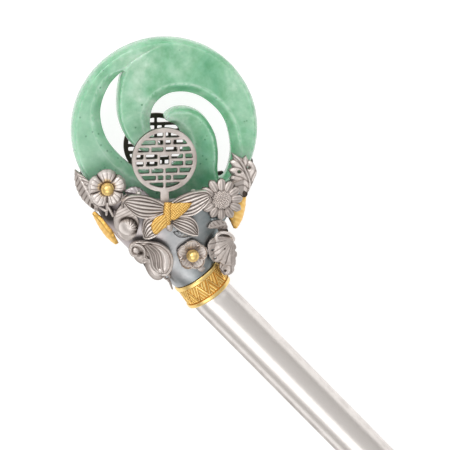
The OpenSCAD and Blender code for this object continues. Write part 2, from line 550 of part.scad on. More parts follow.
// The pin lies on its back, on the far ends of the back butterfly's two gilded panels and on the
// underside of the shaft's tapered end. Its shaft then points along x, and the middle of its length
// and of its breadth is over the origin
function panel_end(w) = let (e = WING_EDGE[len(WING_EDGE) - 1], a = w[2] + panel_turn,
    m = (e[0] + e[1]) / 2 * panel_w * w[4])
    [BUTTERFLY[0] * disc_r + wing_span * (0.3 * w[0] + panel_l * w[3] * cos(a) - m * sin(a)),
     BUTTERFLY[1] * disc_r + wing_span * (w[1] + panel_l * w[3] * sin(a) + m * cos(a)),
     -butterfly_z - panel_z - panel_camber];
function unit(v) = v / norm(v);
tip_rest = step_down(shaft_top, shaft_lean, shaft_straight + shaft_taper - tip_round) - [0, 0, tip_d / 2];
up = unit(cross(panel_end(WINGS[1]) - tip_rest, panel_end(WINGS[2]) - tip_rest));
run = [sin(shaft_lean), -cos(shaft_lean), 0];
ahead = unit(run - (run * up) * up);
side = cross(up, ahead);
lobes_end = [SHELL_LOBES[0] * disc_r + lobes_l * cos(lobes_turn), SHELL_LOBES[1] * disc_r
    + lobes_l * sin(lobes_turn), 0];
middle = [(shaft_end * ahead - disc_r) / 2, (lobes_end * side + disc_r) / 2, tip_rest * up];
module laid() multmatrix([[ahead[0], ahead[1], ahead[2], -middle[0]], [side[0], side[1], side[2], -middle[1]],
    [up[0], up[1], up[2], -middle[2]]]) children();
module front() laid() children();
module back() laid() mirror([0, 0, 1]) children();

shaft();
collar();
cup();
jade_disc();
gold_leaf_left();
gold_leaf_right();
front() roundel();  // front_roundel
front() butterfly();  // front_butterfly
front() butterfly_gold();  // front_butterfly_gold
front() blossom();  // front_blossom
front() blossom_bead();  // front_blossom_bead
front() daisy();  // front_daisy
front() plum();  // front_plum
front() plum_bead();  // front_plum_bead
front() long_leaf();  // front_long_leaf
front() lobed_leaf();  // front_lobed_leaf
front() bud();  // front_bud
front() shell_leaf();  // front_shell_leaf
front() shell_lobes();  // front_shell_lobes
front() fan_leaf();  // front_fan_leaf
front() fan_lobe();  // front_fan_lobe
front() sprig();  // front_sprig
front() bead_left();  // front_bead_left
front() bead_right();  // front_bead_right
back() roundel();  // back_roundel
back() butterfly();  // back_butterfly
back() butterfly_gold();  // back_butterfly_gold
back() blossom();  // back_blossom
back() blossom_bead();  // back_blossom_bead
back() daisy([0, -0.05]);  // back_daisy
back() plum();  // back_plum
back() plum_bead();  // back_plum_bead
back() long_leaf([0.07, -0.1]);  // back_long_leaf
back() lobed_leaf([-0.02, -0.04], 90);  // back_lobed_leaf
back() bud();  // back_bud
back() shell_leaf();  // back_shell_leaf
back() shell_lobes();  // back_shell_lobes
back() fan_leaf();  // back_fan_leaf
back() fan_lobe();  // back_fan_lobe
back() sprig();  // back_sprig
back() bead_left();  // back_bead_left
back() bead_right();  // back_bead_right
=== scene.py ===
import bmesh
import bpy
import math
import numpy as np
from mathutils import Matrix, Vector
from mathutils.geometry import delaunay_2d_cdt


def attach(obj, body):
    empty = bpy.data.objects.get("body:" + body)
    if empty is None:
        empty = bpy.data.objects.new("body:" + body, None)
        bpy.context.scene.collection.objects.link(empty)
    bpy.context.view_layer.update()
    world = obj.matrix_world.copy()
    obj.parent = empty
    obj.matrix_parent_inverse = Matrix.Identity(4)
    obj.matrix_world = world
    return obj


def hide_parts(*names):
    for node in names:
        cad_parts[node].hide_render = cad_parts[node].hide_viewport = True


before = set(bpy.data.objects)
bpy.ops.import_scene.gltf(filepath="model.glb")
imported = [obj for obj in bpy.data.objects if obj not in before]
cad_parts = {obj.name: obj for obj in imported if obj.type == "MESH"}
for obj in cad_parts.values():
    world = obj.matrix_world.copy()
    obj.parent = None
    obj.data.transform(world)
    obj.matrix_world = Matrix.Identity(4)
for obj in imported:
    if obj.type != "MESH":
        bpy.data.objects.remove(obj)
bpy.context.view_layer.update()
print("frame loaded")

disc = {
    "diameter": 40, "thickness": 5,
    "rimBevel": 0.8, "bevelDepth": 1.2, "carveBevel": 2,  # as the stone is cut
    "waviness": 0.05,  # how far the hand-polished faces wander
    "carvedLine": 0.16,  # depth of the line that runs on from the opening's tip
}
shaft = {"diameter": 9.1, "straight": 88, "taper": 52, "tip": 5.2, "lean": 43,
         "tipRound": 0.35,  # length of the rounded tip, as a share of its diameter
         "easeLength": 2, "easeDepth": 0.12}  # the rubbed end under the collar
collar = {"diameter": 10.9, "height": 5.6, "rim": 0.9, "panelDepth": 0.45, "triangles": 12, "lean": 34.5,
          "neck": 8.4, "rimRound": 0.22,
          # engraving: spacing of the hatching, its floor's depth, its ridges' height, the zigzag line's width
          "hatch": 0.62, "floor": 0.36, "ridge": 0.17, "border": 0.13}
cup = {"wall": 1.1, "mouthDepth": 6.3, "lipRise": 0.18, "floorShare": 0.42, "bendLimit": 0.86, "dents": 0.05,
       # painted shade on the cup's wall between the ornaments, darkening its colour there: x, y, radius, how
       # dark
       "paintedShadeSpots": [[-12.5, -17.0, 2.6, 1.0], [-6.9, -18.4, 1.4, 0.6], [15.2, -19.6, 2.0, 0.5],
                   [9.6, -16.6, 2.2, 0.2]],
       # low leaves chased into its wall: half width along each; root x and y, angle, length, width
       "chasedEdge": [[0.06], [0.34], [0.5], [0.46], [0.28], [0.03]],
       "chased": [[-9.4, -11.9, -12, 5.4, 2.7], [-6.6, -13.6, -28, 4.2, 2.2], [-11.5, -16.2, -58, 4.6, 2.2],
                  [8.4, -14.6, 12, 4.0, 2.2], [9.0, -18.4, -24, 3.6, 1.9], [1.0, -21.2, -14, 4.2, 1.8]]}
roundel = {"x": -0.045, "y": -0.252, "diameter": 14, "thick": 1.2, "stalk": 0.74, "softEdge": 0.13}
sheetT = 0.55  # cast petals, leaves and wings
gap = 0.15  # solder between two pieces
stand = 0.9  # how far an ornament stands off the cup
discR = disc["diameter"] / 2
halfT = disc["thickness"] / 2

# Sections of the cup from its mouth to the collar: middle x and y, half width, half depth, lean, power
cupTable = [[0, -0.715, 0.915, 1, 0, 3.6], [0.03, -0.78, 0.81, 1.04, 0.08, 3.4],
            [0.055, -0.91, 0.71, 1.06, 0.2, 3.2], [0.1, -1.07, 0.6, 1.06, 0.36, 3],
            [0.16, -1.25, 0.475, 0.95, 0.56, 2.8], [0.24, -1.43, 0.355, 0.87, 0.8, 2.4],
            [0.33, -1.6, 0.26, 0.83, 1, 2]]


def sind(a):
    return np.sin(np.radians(a))


def cosd(a):
    return np.cos(np.radians(a))


def ease(x, low, high):  # 0 below low, 1 above high, smooth between
    t = np.clip((np.asarray(x, float) - low) / (high - low), 0, 1)
    return t * t * (3 - 2 * t)


def spline(a, b, c, d, t):  # smooth curve from b to c; a comes before them and d after
    return 0.5 * (2 * b + (c - a) * t + (2 * a - 5 * b + 4 * c - d) * t ** 2
                  + (3 * b - a - 3 * c + d) * t ** 3)


def along(rows, s):  # smooth curve through a table's rows, a share s of the way
    rows = np.asarray(rows, float)
    last = len(rows) - 1
    x = np.clip(np.asarray(s, float), 0, 0.9999) * last
    i = np.floor(x).astype(int)
    before, after = rows[np.maximum(i - 1, 0)], rows[np.minimum(i + 2, last)]
    return spline(before, rows[i], rows[np.minimum(i + 1, last)], after, (x - i)[..., None])


def smoothLoop(rows, steps=6):  # closed smooth curve through the rows; a row given twice makes a corner
    rows = np.asarray(rows, float)
    t, n = (np.arange(steps) / steps)[:, None], len(rows)
    return np.concatenate([spline(rows[i - 1], rows[i], rows[(i + 1) % n], rows[(i + 2) % n], t)
                           for i in range(n) if not np.allclose(rows[i, :2], rows[(i + 1) % n, :2])])


def ripple(x, y, z=0.0, scale=1.0, seed=0.0):  # smooth repeatable waviness, from -1 to 1
    x, y = np.asarray(x) / scale + seed, np.asarray(y) / scale - 1.7 * seed
    z = np.asarray(z) / scale + 0.6 * seed
    return (np.sin(1.7 * x + 1.1 * y + 0.7 * z) + np.sin(-0.9 * x + 2.1 * y - 1.3 * z + 2)
            + np.sin(2.6 * x - 0.8 * y + 1.9 * z + 4) + np.sin(0.5 * x + 3.1 * y + 2.3 * z + 1)) / 4


def grooves(phase, sharpness=5):  # engraved lines, one each time the phase grows by 1
    return (0.5 + 0.5 * np.cos(2 * np.pi * phase)) ** sharpness


def acrossSheet(cols):  # shares of a sheet's width, closer together at its two edges
    k = np.linspace(0, 1, cols + 1)
    return 0.6 * k + 0.4 * (0.5 - 0.5 * np.cos(np.pi * k))


# The cup's front, which the ornaments stand on

def cupSection(s):
    e = along(cupTable, s)
    return e * np.array([discR, discR, discR, cup["mouthDepth"], collar["lean"], 1])


def lip(x, s):  # how far the cup's edge rises towards its two sides
    return cup["lipRise"] * discR * x * x * np.maximum(0, 1 - 3 * s) ** 1.5


def cupFront(x, y, limit):  # height of the cup's front there, by halving; limit keeps it off the steep sides
    x, y = np.broadcast_arrays(np.asarray(x, float), np.asarray(y, float))
    low, high = np.zeros(x.shape), np.ones(x.shape)
    for _ in range(16):
        mid = (low + high) / 2
        e = cupSection(mid)
        above = (x - e[..., 0]) * sind(e[..., 4]) - (y - e[..., 1]) * cosd(e[..., 4]) > 0
        low, high = np.where(above, mid, low), np.where(above, high, mid)
    e = cupSection((low + high) / 2)
    across = np.abs((x - e[..., 0]) * cosd(e[..., 4]) + (y - e[..., 1]) * sind(e[..., 4])) / e[..., 2]
    return e[..., 3] * np.maximum(0, 1 - np.minimum(limit, across) ** e[..., 5]) ** (1 / e[..., 5])


def downward(lean):  # direction down an axis that leans that much
    return np.array([sind(lean), -cosd(lean), 0])


neckTop = np.array([*cupSection(np.array(1.0))[:2], 0])
collarTop = neckTop + gap * downward(collar["lean"])
shaftTop = collarTop + (collar["height"] + gap) * downward(collar["lean"])
shaftRun = downward(shaft["lean"])


def under(x, y):  # what an ornament lies on: the cup, or the collar below it
    dx, dy = x - collarTop[0], y - collarTop[1]
    down = dx * sind(collar["lean"]) - dy * cosd(collar["lean"])
    across = dx * cosd(collar["lean"]) + dy * sind(collar["lean"])
    ring = np.sqrt(np.maximum(0, (collar["diameter"] / 2) ** 2 - across ** 2))
    ring = np.where((down < -1) | (down > collar["height"] + 1), 0, ring)
    overLip = y > cupTable[0][1] * discR + lip(x / (cupTable[0][2] * discR), 0) + 2 * sheetT
    return np.maximum(np.where(overLip, 0, cupFront(x, y, 1)), ring)


def centre(place):
    return np.array(place[:2]) * discR


def face(x, y, place, own):  # upper face of an ornament; place as in the solids
    px, py = centre(place)
    here = cupFront(px, py, cup["bendLimit"])
    rise = here + gap + place[2] + own + place[3] * (cupFront(x, y, cup["bendLimit"]) - here)
    return np.maximum(under(x, y) + 2 * gap + sheetT, rise + place[4] * (x - px) + place[5] * (y - py))


def faceAt(x, y, place, own=0):
    return float(face(np.array(x), np.array(y), place, own))


# Shells: lists of points and faces, with how deep each point lies in the relief, from 0 to 1; in places this
# also carries painted shade, and on the jade painted highlight

def newShell():
    return {"points": [], "faces": [], "deep": [], "count": 0}


def addPoints(shell, points, deep=0.0):
    points = np.asarray(points, float).reshape(-1, 3)
    start = shell["count"]
    shell["points"].append(points)
    shell["deep"].append(np.broadcast_to(np.asarray(deep, float).reshape(-1), (len(points),)))
    shell["count"] += len(points)
    return start


# quads over rows of points; ring joins each row's ends
def addGrid(shell, grid, deep=0.0, ring=False, flip=False):
    n, m = grid.shape[:2]
    start = addPoints(shell, grid, deep)
    for i in range(n - 1):
        for j in range(m if ring else m - 1):
            a, b = start + i * m + j, start + i * m + (j + 1) % m
            quad = (a, b, b + m, a + m)
            shell["faces"].append(quad[::-1] if flip else quad)
    return start


def addFan(shell, ringStart, count, point, deep=0.0, flip=False):  # closes a ring of points to one point
    tip = addPoints(shell, [point], deep)
    for j in range(count):
        tri = (ringStart + j, ringStart + (j + 1) % count, tip)
        shell["faces"].append(tri[::-1] if flip else tri)


def addWall(shell, upper, lower, flip=False):  # quads between two rings of points
    for j in range(len(upper)):
        k = (j + 1) % len(upper)
        quad = (upper[j], upper[k], lower[k], lower[j])
        shell["faces"].append(quad[::-1] if flip else quad)


def closeBelow(shell, rim, rings, deep):  # from a rim of points down to lower rings, and across the last
    rings = np.array(rings)
    count = rings.shape[1]
    low = addGrid(shell, rings, deep, ring=True)
    addWall(shell, range(rim, rim + count), range(low, low + count))
    addFan(shell, low + (len(rings) - 1) * count, count, rings[-1].mean(0), deep)


def addSheet(shell, top, deep, thick=sheetT):  # a sheet of metal with that upper face, closed all round
    n, m = top.shape[:2]
    a = addGrid(shell, top, deep, flip=True)
    b = addGrid(shell, top - [0, 0, thick], 0.6)
    edge = list(range(m - 1)) + [i * m + m - 1 for i in range(n - 1)]
    edge += [(n - 1) * m + j for j in range(m - 1, 0, -1)] + [i * m for i in range(n - 1, 0, -1)]
    addWall(shell, [b + p for p in edge], [a + p for p in edge])


def addTube(shell, path, radii, sides=14, deep=0.15):  # round wire along a path, closed at both ends
    path, radii = np.asarray(path, float), np.broadcast_to(np.asarray(radii, float), (len(path),))
    run = np.gradient(path, axis=0)
    run /= np.linalg.norm(run, axis=1)[:, None]
    side = np.cross(run, [0.12, 0.05, 1])
    side /= np.linalg.norm(side, axis=1)[:, None]
    other = np.cross(run, side)
    a = np.linspace(0, 2 * np.pi, sides, endpoint=False)
    rings = path[:, None] + radii[:, None, None] * (np.cos(a)[None, :, None] * side[:, None]
                                                    + np.sin(a)[None, :, None] * other[:, None])
    start = addGrid(shell, rings, deep, ring=True, flip=True)
    addFan(shell, start, sides, path[0] - run[0] * radii[0] * 0.5, deep)
    addFan(shell, start + (len(path) - 1) * sides, sides, path[-1] + run[-1] * radii[-1] * 0.5, deep,
           flip=True)


def addBall(shell, middle, r, sides=28, rows=14, squash=1.0, deep=0.0):
    b = np.linspace(0, np.pi, rows + 1)[1:-1]
    a = np.linspace(0, 2 * np.pi, sides, endpoint=False)
    rings = np.stack([np.outer(np.sin(b), np.cos(a)) * r, np.outer(np.sin(b), np.sin(a)) * r,
                      np.outer(np.cos(b), np.ones(sides)) * r * squash], -1) + middle
    start = addGrid(shell, rings, deep, ring=True, flip=True)
    addFan(shell, start, sides, np.add(middle, [0, 0, r * squash]), deep)
    addFan(shell, start + (len(b) - 1) * sides, sides, np.add(middle, [0, 0, -r * squash]), deep, flip=True)


def inside(points, loop):  # which points lie inside a closed loop
    x, y = points[:, 0], points[:, 1]
    hit = np.zeros(len(points), bool)
    for p, q in zip(loop, np.roll(loop, -1, axis=0)):
        if p[1] != q[1]:
            hit ^= ((p[1] > y) != (q[1] > y)) & (x < (q[0] - p[0]) * (y - p[1]) / (q[1] - p[1]) + p[0])
    return hit


def distance(points, others):  # from each point to the nearest of the others
    return np.array([np.min(np.hypot(*(others - p).T)) for p in points])


def fill(loops, extra, keep):  # triangles between closed loops, through the extra points
    flat = np.concatenate(list(loops) + [extra])
    edges, start = [], 0
    for loop in loops:
        edges += [(start + i, start + (i + 1) % len(loop)) for i in range(len(loop))]
        start += len(loop)
    verts, _, tris, origins, _, _ = delaunay_2d_cdt([Vector(p) for p in flat.tolist()], edges, [], 0, 1e-5)
    verts = np.array([tuple(v) for v in verts])
    tris = np.array(tris)
    tris = tris[keep(verts[tris].mean(1))]
    one, two = verts[tris[:, 1]] - verts[tris[:, 0]], verts[tris[:, 2]] - verts[tris[:, 0]]
    tris = np.where((one[:, 0] * two[:, 1] > one[:, 1] * two[:, 0])[:, None], tris, tris[:, ::-1])
    index = {o: i for i, group in enumerate(origins) for o in group}
    rings, start = [], 0
    for loop in loops:
        rings.append([index[start + i] for i in range(len(loop))])
        start += len(loop)
    return verts, tris.tolist(), rings


def hexPoints(low, high, step):  # points in rows that are shifted in turn, like a honeycomb's
    gx, gy = np.meshgrid(np.arange(low[0], high[0], step), np.arange(low[1], high[1], step * 0.866))
    gx = gx + np.where(np.arange(len(gx)) % 2, step / 2, 0)[:, None]
    return np.stack([gx.ravel(), gy.ravel()], -1)


def cutSheet(shell, loop, relief, holes=(), step=0.2, thick=sheetT, roll=0.22):
    # sheet of metal cut to a loop, with holes; relief(x, y, edge) gives its upper face and how deep that lies
    loops = [loop] + list(holes)
    rims = np.concatenate(loops)
    inner = hexPoints(loop.min(0), loop.max(0), step)

    def keep(points):
        hit = inside(points, loop)
        for hole in holes:
            hit &= ~inside(points, hole)
        return hit

    inner = inner[keep(inner)]
    inner = inner[distance(inner, rims) > 0.5 * step]
    verts, tris, rings = fill(loops, inner, keep)
    edge = distance(verts, rims)
    high, deep = relief(verts[:, 0], verts[:, 1], edge)
    high = high - 0.45 * thick * np.maximum(0, 1 - edge / roll) ** 2
    top = addPoints(shell, np.column_stack([verts, high]), np.clip(deep, 0, 1))
    low = addPoints(shell, np.column_stack([verts, high - thick]), 0.6)
    shell["faces"] += [(top + a, top + b, top + c) for a, b, c in tris]
    shell["faces"] += [(low + c, low + b, low + a) for a, b, c in tris]
    for n, (ring, (x, y)) in enumerate(zip(rings, (rim.T for rim in loops))):
        area = np.sum(x * np.roll(y, -1) - y * np.roll(x, -1))
        addWall(shell, [top + p for p in ring], [low + p for p in ring], flip=(area > 0) != (n == 0))


def sheetBetween(shell, place, lowEdge, highEdge, relief, rows=56, cols=36, thick=sheetT):
    # sheet between two edges, rows of x and y in mm from its place, that run from its root to its tip;
    # relief(s, t, edge) gives its height and how deep that lies, s along it and t across it
    s = np.linspace(0, 1, rows + 1)
    t = acrossSheet(cols)[None, :, None]
    low, high = along(lowEdge, s)[:, None], along(highEdge, s)[:, None]
    flat = low + (high - low) * t
    span = np.linalg.norm(high - low, axis=2)
    s2, t2 = s[:, None] * np.ones(cols + 1), np.ones((rows + 1, 1)) * t[0, :, 0]
    length = np.linalg.norm(np.diff(along(highEdge, s), axis=0), axis=1).sum()
    edge = np.minimum(np.minimum(t2, 1 - t2) * span, np.minimum(s2, 1 - s2) * length)
    x, y = np.moveaxis(flat + centre(place), -1, 0)
    high, deep = relief(s2, t2, edge)
    high = high - 0.45 * thick * np.maximum(0, 1 - edge / 0.2) ** 2
    addSheet(shell, np.stack([x, y, face(x, y, place, high)], -1), np.clip(deep, 0, 1), thick)


# a blade's two edges, as the solids have them
def bladeEdges(angle, length, width, outline, back=0.0, teeth=0, tooth=0.0):
    s = np.linspace(0, 1, 61)
    e = along(outline, s) * width
    saw = tooth * width * (1 - (s * teeth) % 1) * np.sin(np.pi * s) ** 0.5 if teeth else 0
    run, side = np.array([cosd(angle), sind(angle)]), np.array([-sind(angle), cosd(angle)])
    middle = np.outer((s - back) * length, run)
    return middle + np.outer(e[:, 0] - saw, side), middle + np.outer(e[:, 1] + saw, side)


# Row frame: the pin lies on the far ends of the back butterfly's gilded panels and on the shaft's tip

butterfly = {"x": -0.01, "y": -0.86, "span": 19.6, "veins": 6, "panelLength": 0.62, "panelWidth": 0.75,
             "panelTurn": -10, "panelT": 0.35, "panelCamber": 0.12,
             # rods of the body, from head to tail: x, y, height and radius
             "core": [[0, 2.6, -0.35, 0.8], [0, 1, -0.25, 1.1], [0, -1, -0.25, 1.1], [0, -2.2, -0.3, 0.7]],
             "tail": [[0, -1.7, 0.13, 0.9], [0.15, -2.3, 0.13, 0.85], [0.3, -2.9, 0.08, 0.6],
                      [0.4, -3.2, 0, 0.3]]}
wingTable = [[-0.02, 0.09, 174, 0.5, 0.25], [0.03, 0.08, 17, 0.455, 0.235], [-0.02, 0.03, -131, 0.35, 0.23],
             [0.03, 0.03, -38, 0.37, 0.21]]
wingEdge = [[-0.12, 0.12], [-0.36, 0.3], [-0.48, 0.44], [-0.5, 0.5], [-0.46, 0.5], [-0.2, 0.26]]
stalkL = roundel["stalk"] * roundel["diameter"]
stalkRoot = cupFront(roundel["x"] * discR, roundel["y"] * discR - stalkL + np.arange(0, 1.6, 0.25), 1)
roundelZ = gap + stalkRoot.max()
butterflyZ = roundelZ + roundel["thick"] + gap + sheetT + 0.1
panelZ = 0.65 + butterfly["panelT"]
lobesPlace, lobesLength, lobesTurn = [-0.05, -1.43, 0.5 * stand, 0.8, 0, 0.05], 6.2, -132


def panelEnd(w):
    e, a = wingEdge[-1], w[2] + butterfly["panelTurn"]
    m = (e[0] + e[1]) / 2 * butterfly["panelWidth"] * w[4]
    reach = butterfly["panelLength"] * w[3]
    return np.array([butterfly["x"] * discR
                     + butterfly["span"] * (0.3 * w[0] + reach * cosd(a) - m * sind(a)),
                     butterfly["y"] * discR + butterfly["span"] * (w[1] + reach * sind(a) + m * cosd(a)),
                     -butterflyZ - panelZ - butterfly["panelCamber"]])


def unit(v):
    return v / np.linalg.norm(v)


shaftEnd = shaftTop + (shaft["straight"] + shaft["taper"]) * shaftRun
tipL = shaft["tipRound"] * shaft["tip"]
tipRest = shaftEnd - tipL * shaftRun - [0, 0, shaft["tip"] / 2]
rowUp = unit(np.cross(panelEnd(wingTable[1]) - tipRest, panelEnd(wingTable[2]) - tipRest))
rowAhead = unit(shaftRun - (shaftRun @ rowUp) * rowUp)
rowSide = np.cross(rowUp, rowAhead)
lobesEnd = np.array([lobesPlace[0] * discR + lobesLength * cosd(lobesTurn),
                     lobesPlace[1] * discR + lobesLength * sind(lobesTurn), 0])
rowTurn = np.stack([rowAhead, rowSide, rowUp])
rowMiddle = np.array([(shaftEnd @ rowAhead - discR) / 2, (lobesEnd @ rowSide + discR) / 2, tipRest @ rowUp])


def layDown(points):  # head frame, mm -> row frame, metres
    return (np.asarray(points, float) @ rowTurn.T - rowMiddle) / 1000


# Materials

def hexColour(code):  # sRGB hex -> linear
    values = [int(code[i:i + 2], 16) / 255 for i in (1, 3, 5)]
    return tuple(v / 12.92 if v <= 0.04045 else ((v + 0.055) / 1.055) ** 2.4 for v in values) + (1.0,)


def addNode(tree, kind, settings=None, **inputs):  # one node, with its settings, its values and its links
    node = tree.nodes.new("ShaderNode" + kind)
    for key, value in (settings or {}).items():
        setattr(node, key, value)
    for key, value in inputs.items():
        socket = node.inputs[int(key[1:])] if key[0] == "_" else node.inputs[key.replace("_", " ")]
        if isinstance(value, bpy.types.NodeSocket):
            tree.links.new(value, socket)
        else:
            socket.default_value = value
    return node


def setRamp(node, stops):
    ramp = node.color_ramp
    while len(ramp.elements) < len(stops):
        ramp.elements.new(0.5)
    for element, (at, colour) in zip(ramp.elements, stops):
        element.position = at
        element.color = colour if isinstance(colour, tuple) else hexColour(colour)
    return node


def newMaterial(name):
    material = bpy.data.materials.new(name)
    material.use_nodes = True
    return material, material.node_tree, material.node_tree.nodes["Principled BSDF"]


lowLeft = rowTurn @ [-0.8, -0.6, 0]  # towards the disc's lower left, where the stone is milky


def rowSpan(mm):  # mm from the disc's centre towards its lower left, in the row frame
    return float(mm / 1000 - rowMiddle @ lowLeft / 1000)


def carvedJadeite():
    # Jadeite, sawn, carved and polished: cloudy apple green with a waxy shine; light sinks in and comes
    # back greener
    material, tree, bsdf = newMaterial("jadeite_carved_and_polished")
    place = addNode(tree, "TexCoord").outputs["Object"]
    # clouds 10 mm apart, veils 2.4 mm apart
    cloud = addNode(tree, "TexNoise", Vector=place, Scale=95.0, Detail=5.0, Roughness=0.55, Distortion=0.6)
    veil = addNode(tree, "TexNoise", Vector=place, Scale=420.0, Detail=4.0, Roughness=0.6)
    body = setRamp(addNode(tree, "ValToRGB", Fac=cloud.outputs["Fac"]),
                   [(0.3, "#6fb58f"), (0.45, "#8ec8a4"), (0.58, "#a9d5b9"), (0.7, "#cde7d5")])
    soft = addNode(tree, "Mix", {"data_type": "RGBA", "blend_type": "MULTIPLY"}, _0=0.5,
                   _6=body.outputs["Color"],
                   _7=setRamp(addNode(tree, "ValToRGB", Fac=veil.outputs["Fac"]),
                              [(0.35, "#9fcfae"), (0.65, "#ffffff")]).outputs["Color"])
    # dark specks 1.6 mm apart, in patches that are thickest where the stone is milky
    speck = addNode(tree, "TexVoronoi", {"feature": "F1"}, Vector=place, Scale=620.0, Randomness=1.0)
    across = addNode(tree, "VectorMath", {"operation": "DOT_PRODUCT"}, _0=place, _1=tuple(lowLeft.tolist()))
    milky = addNode(tree, "MapRange", {"interpolation_type": "SMOOTHSTEP"}, Value=across.outputs["Value"],
                    From_Min=rowSpan(-4), From_Max=rowSpan(18), To_Max=0.3)
    patch = addNode(tree, "TexNoise", Vector=place, Scale=130.0, Detail=1.0)
    patch = addNode(tree, "Math", {"operation": "MULTIPLY_ADD"}, _0=milky.outputs[0], _1=0.7,
                    _2=patch.outputs["Fac"])
    dark = addNode(tree, "Math", {"operation": "MULTIPLY"},
                   _0=addNode(tree, "MapRange", {"interpolation_type": "SMOOTHSTEP"},
                              Value=speck.outputs["Distance"],
                              From_Min=0.06, From_Max=0.2, To_Min=1.0, To_Max=0.0).outputs[0],
                   _1=addNode(tree, "MapRange", {"interpolation_type": "SMOOTHSTEP"}, Value=patch.outputs[0],
                              From_Min=0.5, From_Max=0.64, To_Max=0.85).outputs[0])
    colour = addNode(tree, "Mix", {"data_type": "RGBA"}, _0=dark.outputs[0], _6=soft.outputs[2],
                     _7=hexColour("#2f7a55"))
    colour = addNode(tree, "Mix", {"data_type": "RGBA"}, _0=milky.outputs[0], _6=colour.outputs[2],
                     _7=hexColour("#b9dcc8"))
    edges = addNode(tree, "Attribute", {"attribute_name": "deep"})  # painted highlight: edges and the carved line are coloured paler
    paintedHighlight = addNode(tree, "Math", {"operation": "MULTIPLY"}, _0=edges.outputs["Fac"], _1=0.6)
    colour = addNode(tree, "Mix", {"data_type": "RGBA"}, _0=paintedHighlight.outputs[0], _6=colour.outputs[2],
                     _7=hexColour("#d9f0e2"))
    tree.links.new(colour.outputs[2], bsdf.inputs["Base Color"])
    bsdf.inputs["IOR"].default_value = 1.66
    bsdf.inputs["Subsurface Weight"].default_value = 0.55
    bsdf.inputs["Subsurface Radius"].default_value = (0.7, 1.6, 1.0)
    bsdf.inputs["Subsurface Scale"].default_value = 0.0016
    bsdf.inputs["Coat Weight"].default_value = 0.25
    bsdf.inputs["Coat Roughness"].default_value = 0.06
    wax = addNode(tree, "MapRange", Value=veil.outputs["Fac"], From_Min=0.3, From_Max=0.7,
                  To_Min=0.14, To_Max=0.26)
    tree.links.new(wax.outputs[0], bsdf.inputs["Roughness"])
    bump = addNode(tree, "Bump", Height=cloud.outputs["Fac"], Strength=0.12, Distance=0.0004)
    tree.links.new(bump.outputs[0], bsdf.inputs["Normal"])
    return material


def metalMaterial(name, ridge, face, hollow, roughness, grain, grainDepth, paintedShade=None):
    # ridge, face and hollow are the colours of rubbed ridges, open faces and hollows; grain is the size of
    # the surface's grain in mm; paintedShade is a tinted painted shade that changes from the head's left to
    # its right
    material, tree, bsdf = newMaterial(name)
    place = addNode(tree, "TexCoord").outputs["Object"]
    deep = addNode(tree, "Attribute", {"attribute_name": "deep"}).outputs["Fac"]
    drift = addNode(tree, "TexNoise", Vector=place, Scale=260.0, Detail=4.0, Roughness=0.6)  # 4 mm patches
    fine = addNode(tree, "TexNoise", Vector=place, Scale=1000 / grain, Detail=3.0, Roughness=0.65)
    shade = addNode(tree, "Math", {"operation": "MULTIPLY_ADD"}, _0=drift.outputs["Fac"], _1=0.5, _2=-0.25)
    depth = addNode(tree, "Math", {"operation": "ADD", "use_clamp": True}, _0=deep, _1=shade.outputs[0])
    tone = setRamp(addNode(tree, "ValToRGB", Fac=depth.outputs[0]),
                   [(0.0, ridge), (0.28, face), (0.85, hollow)])
    colour = tone.outputs["Color"]
    if paintedShade:
        # painted shade, tinted: lavender on the left, near white in the middle, a darker teal on the right
        right = rowTurn @ [1, 0, 0]
        across = addNode(tree, "VectorMath", {"operation": "DOT_PRODUCT"}, _0=place, _1=tuple(right.tolist()))
        share = addNode(tree, "Math", {"operation": "MULTIPLY_ADD"}, _0=across.outputs["Value"],
                        _1=1000 / discR / 2,
                        _2=float(rowMiddle @ right / discR / 2 + 0.5))  # 0 at the left wall, 1 at the right
        share = addNode(tree, "Math", {"operation": "MULTIPLY_ADD"}, _0=drift.outputs["Fac"], _1=0.4,
                        _2=share.outputs[0])
        hue = setRamp(addNode(tree, "ValToRGB", Fac=share.outputs[0]), paintedShade)
        colour = addNode(tree, "Mix", {"data_type": "RGBA", "blend_type": "MULTIPLY"}, _0=1.0, _6=colour,
                         _7=hue.outputs["Color"]).outputs[2]
    tree.links.new(colour, bsdf.inputs["Base Color"])
    bsdf.inputs["Metallic"].default_value = 1.0
    rough = addNode(tree, "Math", {"operation": "MULTIPLY_ADD"}, _0=depth.outputs[0], _1=0.25, _2=roughness)
    rough = addNode(tree, "Math", {"operation": "MULTIPLY_ADD"}, _0=fine.outputs["Fac"], _1=0.12,
                    _2=rough.outputs[0])
    tree.links.new(rough.outputs[0], bsdf.inputs["Roughness"])
    bump = addNode(tree, "Bump", Height=fine.outputs["Fac"], Strength=grainDepth, Distance=grain / 4000)
    tree.links.new(bump.outputs[0], bsdf.inputs["Normal"])
    return material


